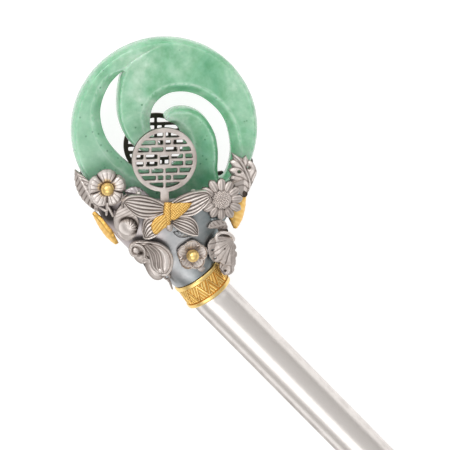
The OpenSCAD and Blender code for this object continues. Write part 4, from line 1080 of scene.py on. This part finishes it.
def butterflyWings(side):
    shell = newShell()
    for n, wing in enumerate(wings):
        def relief(s, t, e):
            vein = grooves(butterfly["veins"] * t, 1)
            border = np.exp(-((e - 0.22) / 0.15) ** 2)
            ditch = np.exp(-((e - 0.55) / 0.13) ** 2)
            within = ease(e, 0.5, 0.85)
            own = 0.2 * np.sin(np.pi * t) + 0.35 * np.sin(np.radians(150) * s)
            own = own + 0.18 * vein * within + 0.18 * border - 0.06 * ditch
            if n > 1:  # the lower pair starts under the upper
                own = own - 0.15 * (1 - ease(s, 0, 0.5))
            return own, 0.04 + 0.85 * (1 - vein) ** 1.8 * within * (1 - 0.25 * s) + 0.7 * ditch - 0.1 * border

        sheetBetween(shell, butterflyPlace, wing["low"], wing["high"], relief, rows=64, cols=60)
    px, py = centre(butterflyPlace)
    for rows, deep in ((butterfly["core"], 0.7), (butterfly["tail"], 0.15)):
        rows = np.array(rows)
        addTube(shell, rows[:, :3] + [px, py, butterflyZ], rows[:, 3], deep=deep)
    addPeg(shell, butterflyPlace)
    makeOrnament(side, "butterfly_wings", "butterfly", shell)


def butterflyGilding(side):
    px, py = centre(butterflyPlace)

    def pits(x, y):  # rows of punch marks that wander
        return np.sin(10.5 * x + 0.8 * np.sin(3 * y)) * np.sin(10.5 * y + 0.8 * np.sin(4 * x))

    shell = newShell()
    long, count = 80, 84
    rows = along(gilded["bodyRows"], np.linspace(0, 1, long))
    a = np.linspace(0, 2 * np.pi, count, endpoint=False)
    bulge = np.maximum(np.sign(np.sin(a)) * np.abs(np.sin(a)) ** 0.75, -0.05)
    x = px + rows[:, :1] + rows[:, 2:] * np.cos(a)
    y = py + rows[:, 1:2] + 0 * x
    marks = pits(x, y) * (bulge > 0.15)
    z = butterflyZ + 0.17 + gap + bulge * 0.6 * np.minimum(rows[:, 2:], 1) + 0.045 * marks
    start = addGrid(shell, np.stack([x, y, z], -1), 0.3 - 0.45 * marks, ring=True, flip=True)
    head, tail = gilded["bodyRows"][0], gilded["bodyRows"][-1]
    addFan(shell, start, count, [px + head[0], py + head[1] + 0.02, butterflyZ + 0.5], 0.3)
    addFan(shell, start + (long - 1) * count, count, [px + tail[0], py + tail[1] - 0.02, butterflyZ + 0.4],
           0.3, flip=True)
    lift, panelT = panelZ - 0.055, butterfly["panelT"]

    def crown(edge):  # panels swell a little from their edges
        return lift + butterfly["panelCamber"] * (0.4 + 0.6 * ease(edge, 0, 1))

    def punched(x, y, edge):
        return butterflyZ + crown(edge) + 0.05 * pits(x, y) * ease(edge, 0.1, 0.3), 0.3 - 0.5 * pits(x, y)

    def streaky(x, y, edge):
        way = (x - px) * 0.7 - (y - py) * 0.66
        streak = (0.65 * np.sin(12 * way + 0.9 * np.sin(2.3 * y))
                  + 0.35 * np.sin(21 * way + 1.3 * np.sin(1.7 * x)))
        return butterflyZ + crown(edge) + 0.05 * streak * ease(edge, 0.1, 0.3), 0.3 - 0.5 * streak

    for outline, relief in ((gilded["right"], punched), (gilded["left"], streaky)):
        cutSheet(shell, smoothLoop(outline) + [px, py], relief, step=0.11, thick=panelT, roll=0.3)
    makeOrnament(side, "butterfly_gilding", "butterfly_gold", shell, "punched")


# Leaves, seen from the front; outlines are in mm from each leaf's place

leafEdge = [[-0.08, 0.08], [-0.34, 0.34], [-0.48, 0.48], [-0.46, 0.46], [-0.3, 0.3], [-0.04, 0.04]]
longLeaf = {"place": [-0.79, -0.75, 0.9 * stand, 0.5, 0.75, 0.05], "backShift": (0.07, -0.1), "angle": 117,
            "length": 9.6, "width": 3.4, "veins": 9}
lobedLeaf = {"place": [0.83, -0.68, 0.2 * stand, 0, 0.26, 0.03], "backShift": (-0.02, -0.04), "backTurn": -16,
             "outline": [[0.1, -0.9], [0.1, -0.9], [1.2, 1.0], [2.1, 3.1], [2.65, 4.7], [2.5, 5.6],
                         [2.5, 5.6], [2.1, 6.6], [1.3, 7.3], [1.3, 7.3], [0.9, 7.5], [0.35, 8.4], [0.35, 8.4],
                         [-0.4, 7.7], [-0.4, 7.7], [-1.2, 8.2], [-2.7, 9.0], [-2.7, 9.0], [-2.4, 8.0],
                         [-2.35, 7.5], [-2.35, 7.5], [-3.1, 6.95], [-3.1, 6.95], [-2.7, 6.2], [-2.4, 5.75],
                         [-2.4, 5.75], [-3.3, 5.1], [-3.3, 5.1], [-2.9, 4.4], [-2.5, 4.0], [-2.5, 4.0],
                         [-3.0, 3.2], [-3.0, 3.2], [-2.0, 1.7], [-0.9, 0.1]],
             "holes": [[-1.0, 4.8, 0.34], [0.95, 5.8, 0.34]],
             "midrib": [[0.9, -0.2], [1.25, 1.2], [1.2, 2.6], [0.75, 4.0], [0.1, 5.6], [-0.6, 6.9],
                        [-1.5, 8.0], [-2.5, 8.8]],
             "veins": [[[-2.3, 7.5], [-1.2, 6.9], [0.0, 5.5]], [[-2.4, 5.8], [-0.9, 5.6], [0.7, 4.1]],
                       [[-2.4, 4.0], [-0.6, 3.6], [1.2, 2.4]], [[-1.9, 1.8], [-0.2, 2.0], [1.1, 0.9]],
                       [[-0.3, 7.7], [-0.3, 7.0], [0.0, 5.9]], [[0.9, 7.4], [0.5, 6.0], [0.8, 4.1]],
                       [[2.4, 5.2], [1.7, 3.9], [1.3, 2.5]], [[1.9, 2.8], [1.6, 1.9], [1.3, 1.0]]]}
bud = {"place": [-0.45, -0.98, 0.8 * stand, 1, 0, 0], "diameter": 3.9, "scallops": 14, "tips": 38,
       "leaf": [[-0.7, 5.4], [-1.6, 4.4], [-2.5, 2.6], [-2.5, 0.2], [-1.6, -2.2], [-0.6, -3.3], [0.4, -3.6],
                [0.4, -3.6], [1.6, -2.7], [2.4, -0.8], [2.6, 1.2], [1.8, 3.2], [0.4, 4.6]],
       "vine": [[-0.8, 4.2], [-0.9, 5.2], [-0.6, 6.3], [0.0, 7.2]]}
shellLeaf = {"place": [-0.2, -1.31, 2.1 * stand, 0.8, 0, 0],
             "outline": [[-4.5, 1.6], [-4.1, 2.8], [-2.9, 3.6], [-0.7, 3.65], [2.1, 3.0], [4.1, 1.4],
                         [4.95, -0.7], [4.8, -2.8], [3.9, -4.5], [2.9, -4.8], [2.0, -4.3], [0.6, -3.2],
                         [0.0, -1.6], [-0.6, -0.6], [-1.4, -0.9], [-2.6, -0.6], [-3.7, 0.2], [-4.4, 0.9]],
             "rim": [[-4.3, 1.2], [-4.0, 2.6], [-2.8, 3.35], [-0.7, 3.4], [2.0, 2.75], [3.85, 1.25],
                     [4.65, -0.7], [4.5, -2.7], [3.7, -4.2], [2.9, -4.5]],
             "ribs": [[[-1.2, 2.4], [-0.2, 0.9], [0.4, -1.0], [0.8, -2.6], [1.9, -3.9]],
                      [[-0.8, 2.6], [0.8, 0.8], [1.3, -1.1], [1.5, -2.6], [2.3, -3.9]],
                      [[-0.3, 2.8], [1.6, 1.1], [2.2, -0.8], [2.3, -2.3], [2.7, -3.8]]],
             "curl": [[-1.3, -0.6], [-1.15, 0.4], [-1.3, 1.5], [-2.0, 2.4], [-3.1, 2.75], [-4.0, 2.2],
                      [-4.2, 1.2], [-3.7, 0.35], [-2.9, 0.1]],
             "knob": [-3.05, 1.35, 0.85], "eye": [-1.85, 0.55, 0.5], "ring": [-1.2, -1.0, 0.5],
             "bead": [2.3, -3.3, 0.5]}
shellLobes = {"place": lobesPlace, "middles": [[-4.9, 1.8, 1.6], [-1.5, -2.2, 1.9]],
              "outline": [[0.9, 0.7], [0.9, 0.7], [0.8, -1.5], [0.4, -3.2], [-0.3, -3.9], [-1.6, -3.8],
                          [-2.7, -2.8], [-3.5, -1.3], [-3.8, 0.0], [-3.8, 0.0], [-4.8, 0.1], [-5.9, 1.1],
                          [-6.4, 2.4], [-5.6, 3.3], [-4.0, 2.9], [-2.0, 1.8]],
              "ring": [1.0, -3.0, 0.55], "stem": [[1.2, -3.5], [1.7, -4.4], [2.0, -5.3], [2.3, -6.1]]}
fanLeaf = {"place": [0.62, -1.28, 2.2 * stand, 0.7, 0, 0], "root": [1.9, 2.0], "lines": 27,
           "holes": [[-2.6, -0.2, 0.3], [-2.0, -2.2, 0.22]],
           "outline": [[1.9, 2.2], [1.9, 2.2], [0.5, 2.5], [-1.4, 2.85], [-2.9, 2.5], [-3.7, 1.5],
                       [-3.85, 0.3], [-3.5, -1.1], [-2.7, -2.5], [-1.8, -3.2], [-1.0, -3.2], [-1.0, -3.2],
                       [-0.5, -3.7], [0.3, -4.0], [0.9, -4.0], [0.9, -4.0], [1.5, -4.1], [2.2, -3.7],
                       [2.6, -3.0], [2.6, -3.0], [2.5, -2.4], [2.8, -1.9], [2.8, -1.2], [2.8, -1.2],
                       [2.4, -0.7], [2.65, 0.0], [2.4, 0.7], [2.4, 0.7], [2.05, 1.1], [2.1, 1.6]]}
fanLobe = {"place": [0.65, -1.43, 0.3 * stand, 0.6, 0, 0.05], "root": [0.9, 1.6], "lines": 21,
           "holes": [[-0.1, -2.6, 0.22]],
           "outline": [[1.5, 1.7], [1.5, 1.7], [0.2, 1.2], [-0.9, 0.2], [-1.4, -0.9], [-1.3, -2.2],
                       [-0.7, -3.2], [0.2, -3.7], [0.9, -3.6], [1.5, -3.2], [1.9, -2.6], [1.9, -2.6],
                       [1.9, -1.9], [2.2, -1.3], [2.2, -0.7], [2.2, -0.7], [1.9, -0.1], [2.1, 0.6],
                       [1.9, 1.2]]}
sprig = {"place": [0.57, -1.07, 1.3 * stand, 0.8, 0, 0],
         "outline": [[-3.0, 0.9], [-3.0, 0.9], [-2.4, 1.9], [-1.6, 2.4], [-0.4, 2.5], [0.8, 1.9], [1.6, 0.9],
                     [1.6, 0.2], [0.4, 0.1], [-0.6, 0.3], [-1.4, 0.6], [-2.2, 0.6]],
         "tendril": [[-1.0, -1.9], [-1.15, -0.9], [-0.6, -0.35], [0.3, -0.2], [1.5, -0.45], [2.4, -1.1],
                     [2.8, -1.7], [2.85, -2.3]]}
lipBeads = {"diameter": 1.25, "stem": 0.3, "bead_left": [-0.32, -0.62], "bead_right": [0.27, -0.62]}


def longLeafSheet(side):
    shell = newShell()
    place = placeOn(side, longLeaf)

    def relief(s, t, e):
        rib = np.exp(-((t - 0.5) / 0.045) ** 2) * (1 - ease(s, 0.85, 1))
        line = grooves(s * longLeaf["veins"] + np.abs(t - 0.5) * 2.6)
        line = line * ease(np.abs(t - 0.5), 0.03, 0.1) * ease(e, 0.05, 0.25)
        own = 0.4 * (np.sin(np.pi * t) - 1) + 0.4 * (np.sin(np.pi * s) - 0.454) + 0.14 * rib - 0.08 * line
        return own, 0.18 + 0.45 * line - 0.1 * rib + 0.15 * (1 - ease(e, 0.0, 0.15))

    edges = bladeEdges(longLeaf["angle"], longLeaf["length"], longLeaf["width"], leafEdge, 0.15,
                       teeth=9, tooth=0.05)
    sheetBetween(shell, place, *edges, relief, rows=110, cols=36)
    addPeg(shell, place)
    makeOrnament(side, "long_leaf_veined", "long_leaf", shell)


def lobedLeafSheet(side):
    place = placeOn(side, lobedLeaf)
    k = math.radians(lobedLeaf["backTurn"] if side == "back" else 0)
    spin = np.array([[math.cos(k), math.sin(k)], [-math.sin(k), math.cos(k)]])
    midrib = along(lobedLeaf["midrib"], np.linspace(0, 1, 120))
    veins = np.concatenate([along(rows, np.linspace(0, 1, 50)) for rows in lobedLeaf["veins"]])

    def relief(x, y, edge):
        local = np.column_stack([x, y]) @ spin.T  # back to the leaf as drawn
        toRib, toVein = distance(local, midrib), distance(local, veins)
        rib = np.exp(-(toRib / 0.16) ** 2)
        beside = np.exp(-((toRib - 0.34) / 0.12) ** 2)
        line = np.exp(-(toVein / 0.13) ** 2) * ease(toRib, 0.15, 0.4)
        own = 0.16 * ease(edge, 0, 0.7) - 0.14 + 0.11 * rib - 0.05 * beside - 0.07 * line
        own = own + 0.08 * ease(toVein, 0.1, 0.8)
        return own, 0.13 + 0.42 * line + 0.3 * beside - 0.05 * rib + 0.15 * (1 - ease(edge, 0, 0.15))

    shell = newShell()
    cutLeaf(shell, place, lobedLeaf["outline"], relief, 0.11, lobedLeaf["holes"], 4, spin)
    addPeg(shell, place)
    makeOrnament(side, "lobed_leaf_veined", "lobed_leaf", shell)


def budOnLeaf(side):
    place = bud["place"]
    px, py = centre(place)
    shell = newShell()

    def relief(x, y, edge):
        line = grooves(y * 1.3 - x * 0.7, 8) * ease(y, 1.4, 2.2)
        # a ring round the bud on its top and right: a shallow real dip in the leaf, and painted shadow that
        # darkens it far more than the dip would
        dipAndShadow = np.exp(-((np.hypot(x - 0.2, y + 0.1) - 2.0) / 0.4) ** 2) * ease(x + y, -1.5, 1.0)
        return (0.3 * ease(edge, 0, 1.2) - 0.45 - 0.03 * line - 0.12 * dipAndShadow,
                0.15 + 0.35 * line + 0.8 * dipAndShadow + 0.2 * (1 - ease(edge, 0, 0.3)))

    cutLeaf(shell, place, bud["leaf"], relief, 0.17)
    wire(shell, place, bud["vine"], (-0.2, -0.3), (0.3, 0.2), deep=0.3)
    rings, count = 34, 220
    a = np.linspace(0, 2 * np.pi, count, endpoint=False)
    k = np.sin(np.linspace(0.02, 1, rings) * np.pi / 2)[:, None]
    off = (a - math.radians(bud["tips"]) + np.pi) % (2 * np.pi) - np.pi
    fade = np.exp(-(off / 1.15) ** 4) * ease(k, 0.15, 0.7)
    ridge = np.abs(np.cos(bud["scallops"] / 2 * off)) ** 0.7 * np.ones((rings, 1))
    reach = bud["diameter"] / 2 * (0.97 + 0.07 * (ridge - 0.6) * fade)
    u, v = k * np.cos(a) * reach, k * np.sin(a) * reach
    own = 0.4 * bud["diameter"] * (np.sqrt(1 - k ** 2) + 0 * a) + 0.14 * (ridge - 0.6) * fade
    top = np.stack([px + 0.2 + u, py - 0.1 + v, face(px + u, py + v, place, own)], -1)
    deep = 0.05 + 0.6 * (1 - ridge) ** 2 * fade + 0.3 * ease(k, 0.96, 1)
    start = addGrid(shell, top, np.clip(deep, 0, 1), ring=True)
    addFan(shell, start, count, top[0].mean(0) + [0, 0, 0.02], 0.1, flip=True)
    closeBelow(shell, start + (rings - 1) * count, [top[-1] - [0, 0, 0.6]], 0.9)
    addPeg(shell, place)
    makeOrnament(side, "bud_fluted", "bud", shell)


def shellLeafSheet(side):
    place = shellLeaf["place"]
    fine = np.linspace(0, 1, 160)
    rimLine = along(shellLeaf["rim"], fine)
    ribLines = np.concatenate([along(rows, fine[::2]) for rows in shellLeaf["ribs"]])
    knob, eye, bead = (np.array(shellLeaf[k]) for k in ("knob", "eye", "bead"))
    shell = newShell()

    def relief(x, y, edge):
        points = np.column_stack([x, y])
        toRim, toRib = distance(points, rimLine), distance(points, ribLines)
        toKnob, toEye = np.hypot(*(points - knob[:2]).T), np.hypot(*(points - eye[:2]).T)
        rim, inset = np.exp(-(toRim / 0.22) ** 2), np.exp(-((toRim - 0.6) / 0.13) ** 2)
        between = np.exp(-((toRim - 0.37) / 0.1) ** 2)
        scroll = 1 - ease(toKnob, 1.5, 2.2)
        rib = np.exp(-(toRib / 0.16) ** 2) * (1 - scroll)
        ribbed = (1 - ease(toRib, 0.3, 0.55)) * (1 - scroll)
        hollow = np.exp(-(toEye / eye[2]) ** 2)
        dish = ease(toRim, 0.6, 1.6) * ease(toRib, 0.25, 1.0) * (1 - scroll)
        own = 0.45 * rim + 0.25 * inset + 0.3 * rib - 0.3 * dish - 0.35 * scroll * (1 - rim)
        own = own - 0.4 * hollow + 0.1
        deep = 0.02 + 0.45 * between + 0.5 * ribbed * (1 - rib) + 0.02 * dish + 0.3 * scroll * (1 - rim)
        return own, deep + 0.7 * hollow

    cutLeaf(shell, place, shellLeaf["outline"], relief, 0.12)
    wire(shell, place, shellLeaf["curl"], (0.1, 0.35), (0.24, 0.36), 60)
    for spot in (knob, bead):
        x, y = spot[:2] + centre(place)
        addBall(shell, [x, y, faceAt(x, y, place, -0.05)], spot[2], squash=0.8, deep=0.05)
    wire(shell, place, ringRows(*shellLeaf["ring"]), (0.2, 0.2), (0.18, 0.18))
    addPeg(shell, place)
    makeOrnament(side, "shell_leaf_ribbed", "shell_leaf", shell)


def shellLobesSheet(side):
    place = shellLobes["place"]
    at = centre(place)
    shell = newShell()

    def relief(x, y, edge):
        swell = sum(np.exp(-(np.hypot(x - m[0], y - m[1]) / m[2]) ** 2) for m in shellLobes["middles"])
        own = 0.5 * ease(edge, 0, 1.1) - 0.55 + 0.25 * swell + 0.02 * ripple(x + at[0], y + at[1], scale=1.5)
        return own, 0.4 - 0.3 * ease(edge, 0, 0.6) + 0.1 * (1 - swell)

    cutLeaf(shell, place, shellLobes["outline"], relief, 0.18)
    # small ring and stem at its foot
    wire(shell, place, ringRows(*shellLobes["ring"]), (0.1, 0.1), (0.22, 0.22), deep=0.3)
    wire(shell, place, shellLobes["stem"], (0, -0.3), (0.32, 0.16), deep=0.3)
    addPeg(shell, place)
    makeOrnament(side, "shell_lobes_smooth", "shell_lobes", shell)


def fanSheet(side, node, fan):
    shell = newShell()

    def relief(x, y, edge):
        local = np.column_stack([x, y]) - fan["root"]
        r, turn = np.hypot(*local.T), np.degrees(np.arctan2(local[:, 1], local[:, 0])) % 360
        phase = turn * fan["lines"] / 360
        line = grooves(phase, 12) * ease(r, 0.8, 1.8) * ease(edge, 0.15, 0.5)
        line = line * (0.6 + 0.4 * np.sin(phase * 2.4))
        own = 0.34 * ease(edge, 0, 1.4) - 0.34 - 0.06 * line
        own = own + 0.02 * grooves(phase + 0.5, 1) * ease(r, 0.5, 1.5)
        return own, 0.19 + 0.5 * line + 0.12 * (1 - ease(edge, 0, 0.15))

    cutLeaf(shell, fan["place"], fan["outline"], relief, 0.11, fan["holes"], 5)
    addPeg(shell, fan["place"])
    makeOrnament(side, node + "_veined", node, shell)


def sprigLeaf(side):
    place = sprig["place"]
    shell = newShell()

    def relief(x, y, edge):
        off = (y - 1.1) - 0.12 * x  # mm from its midrib
        rib = np.exp(-(off / 0.12) ** 2)
        line = grooves(x * 1.1 + np.abs(off) * 0.8) * ease(np.abs(off), 0.1, 0.4) * ease(edge, 0.1, 0.3)
        return 0.25 * ease(edge, 0, 0.9) - 0.3 + 0.08 * rib - 0.06 * line, 0.2 + 0.4 * line - 0.1 * rib

    cutLeaf(shell, place, sprig["outline"], relief, 0.14)
    wire(shell, place, sprig["tendril"], (1.5, 1.1), (0.4, 0.3), 60, 0.0)
    addPeg(shell, place, 1)
    makeOrnament(side, "sprig_and_tendril", "sprig", shell)


def lipBead(side, name):  # small bead on a stem at the cup's edge
    (x, y), d = centre(lipBeads[name]), lipBeads["diameter"]
    stem = d * lipBeads["stem"]
    z = gap + stem + max(float(under(x + k * stem, y - n * d / 2)) for k in (-1, 1) for n in range(5))
    shell = newShell()
    addBall(shell, [x, y, z], d / 2, deep=0.05)
    addTube(shell, [[x, y - k, z] for k in (0.3, 0.9, 1.6, 2.3)], stem, sides=20, deep=0.4)
    makeOrnament(side, name + "_stem", name, shell)


# Gold leaves on the cup's left and right edges, arched outward

goldLeaves = {
    "gold_leaf_left": {"root": [-0.785, -0.905], "tip": [-0.535, -1.265], "camber": 0.05, "width": 0.55,
                       "outward": -1},
    "gold_leaf_right": {"root": [0.895, -0.755], "tip": [0.795, -1.13], "camber": 0.13, "width": 0.85,
                        "outward": 1},
}


def edgeLeaf(node, leaf):
    root = centre(leaf["root"])
    run = centre(leaf["tip"]) - root
    long, turn = np.linalg.norm(run), math.atan2(run[1], run[0])
    rows, cols = 70, 44
    s = np.linspace(0, 1, rows + 1)[:, None] * np.ones(cols + 1)
    t = np.ones((rows + 1, 1)) * acrossSheet(cols)
    scallop = 1 + 0.07 * np.abs(np.sin(np.pi * 4.5 * s[:, 0])) - 0.07
    e = along(leafEdge, s[:, 0]) * leaf["width"] * long * scallop[:, None]
    wide = (e[:, 1] - e[:, 0])[:, None]
    edge = np.minimum(np.minimum(t, 1 - t) * wide, np.minimum(s, 1 - s) * long)
    rib = np.exp(-((t - 0.5) / 0.05) ** 2) * (1 - ease(s, 0.9, 1))
    vein = grooves(7 * s + 1.6 * np.abs(t - 0.5), 2)
    high = discR * (leaf["camber"] * (np.sin(np.pi * t) - 1) + 0.025) * np.sin(np.pi * s)
    high = high + 0.1 * rib + 0.06 * vein + 0.1 * ripple(s * 6, t * 3, scale=1)
    high = high - 0.25 * np.maximum(0, 1 - edge / 0.25) ** 2 - 0.1
    shell = newShell()
    addSheet(shell, np.stack([s * long, e[:, :1] + wide * t, high], -1), 0.3 - 0.2 * rib - 0.15 * vein)
    x, y, z = np.concatenate(shell["points"]).T
    y, z = leaf["outward"] * z, -leaf["outward"] * y  # stood on its edge
    c, d = math.cos(turn), math.sin(turn)
    shell["points"] = [np.column_stack([root[0] + c * x - d * y, root[1] + d * x + c * y, z])]
    makePiece(node + "_arched", shell, "gilding", node)


for side in ("front", "back"):
    for build in (roundelPlate, blossomFlower, daisyFlower, plumFlower, butterflyWings, butterflyGilding,
                  longLeafSheet, lobedLeafSheet, budOnLeaf, shellLeafSheet, shellLobesSheet):
        build(side)
    fanSheet(side, "fan_leaf", fanLeaf)
    fanSheet(side, "fan_lobe", fanLobe)
    sprigLeaf(side)
    lipBead(side, "bead_left")
    lipBead(side, "bead_right")
    print(side, "flowers, butterfly and leaves made")
for node, leaf in goldLeaves.items():
    edgeLeaf(node, leaf)


# Floor, light and camera

view = {"toward": [-0.13629, 0.23958, 0.96126], "up": [0.03363, 0.97088, -0.23721],
        "right": [0.9901, 0, 0.14038], "width": 96.5, "distance": 1000,
        "aim": [13.08, -20.59]}  # mm to the right of the disc's centre and above it


def paperFloor():
    # Paper on a light table: matt, and white through and through, so hardly a shadow lies on it
    material, tree, bsdf = newMaterial("paper_matt_white")
    place = addNode(tree, "TexCoord").outputs["Object"]
    grain = addNode(tree, "TexNoise", Vector=place, Scale=900.0, Detail=2.0)
    tone = setRamp(addNode(tree, "ValToRGB", Fac=grain.outputs["Fac"]), [(0.3, "#8f8f8e"), (0.7, "#959594")])
    tree.links.new(tone.outputs["Color"], bsdf.inputs["Base Color"])
    bsdf.inputs["Roughness"].default_value = 0.9
    bsdf.inputs["Emission Color"].default_value = (1, 1, 1, 1)
    bsdf.inputs["Emission Strength"].default_value = 0.84
    mesh = bpy.data.meshes.new("floor")
    half = 1.6  # metres, past the picture's edges
    corners = [(-half, -half, 0), (half, -half, 0), (half, half, 0), (-half, half, 0)]
    mesh.from_pydata(corners, [], [(0, 1, 2, 3)])
    mesh.materials.append(material)
    addObject("paper_floor", mesh)


def headTurn(v):  # direction in the head's frame -> row frame
    return Vector((rowTurn @ np.asarray(v, float)).tolist())


def softBox(name, toward, distance, width, height, watts, aim=(0, -10, 0), colour=(1, 1, 1)):
    lamp = bpy.data.lights.new(name, "AREA")
    lamp.shape, lamp.size, lamp.size_y = "RECTANGLE", width, height
    lamp.energy, lamp.color = watts, colour
    box = addObject(name, lamp)
    target = Vector(layDown([aim])[0].tolist())
    box.location = target + headTurn(unit(np.array(toward, float))) * distance
    box.rotation_euler = (target - box.location).to_track_quat("-Z", "Y").to_euler()


def studio():
    softBox("key_box", [-0.45, 0.55, 0.75], 0.6, 0.36, 0.3, 1.3)
    softBox("fill_box", [0.45, 0.75, 0.55], 0.7, 0.4, 0.4, 0.5)
    softBox("top_box", [0.0, 0.25, 1.0], 0.9, 0.5, 0.3, 0.3)
    softBox("low_box", [-0.16, -0.52, 0.81], 0.6, 0.5, 0.34, 0.8)
    world = bpy.data.worlds.new("studio")
    world.use_nodes = True
    bpy.context.scene.world = world
    tree = world.node_tree
    back = tree.nodes["Background"]
    ray = addNode(tree, "TexCoord").outputs["Generated"]
    height = addNode(tree, "SeparateXYZ", Vector=ray)
    tone = setRamp(addNode(tree, "ValToRGB", Fac=height.outputs["Z"]),
                   [(0.0, "#a8a6a4"), (0.35, "#c8c6c4"), (0.9, "#dcdbda")])
    tree.links.new(tone.outputs["Color"], back.inputs["Color"])
    back.inputs["Strength"].default_value = 0.88


def photoCamera():
    data = bpy.data.cameras.new("camera")
    camera = addObject("camera", data)
    toward, up, right = (np.array(view[k], float) for k in ("toward", "up", "right"))
    aim = view["aim"][0] * right + view["aim"][1] * up
    data.sensor_width = 36
    data.lens = 36 * view["distance"] / view["width"]
    data.clip_start, data.clip_end = 0.05, 10
    turn = Matrix([headTurn(right), headTurn(up), headTurn(toward)]).transposed()
    eye = Vector(layDown([aim + toward * view["distance"]])[0].tolist())
    camera.matrix_world = Matrix.Translation(eye) @ turn.to_4x4()
    bpy.context.scene.camera = camera


paperFloor()
studio()
photoCamera()
bpy.context.scene.view_settings.view_transform = "Standard"
print("floor, light and camera set")

bpy.context.view_layer.update()
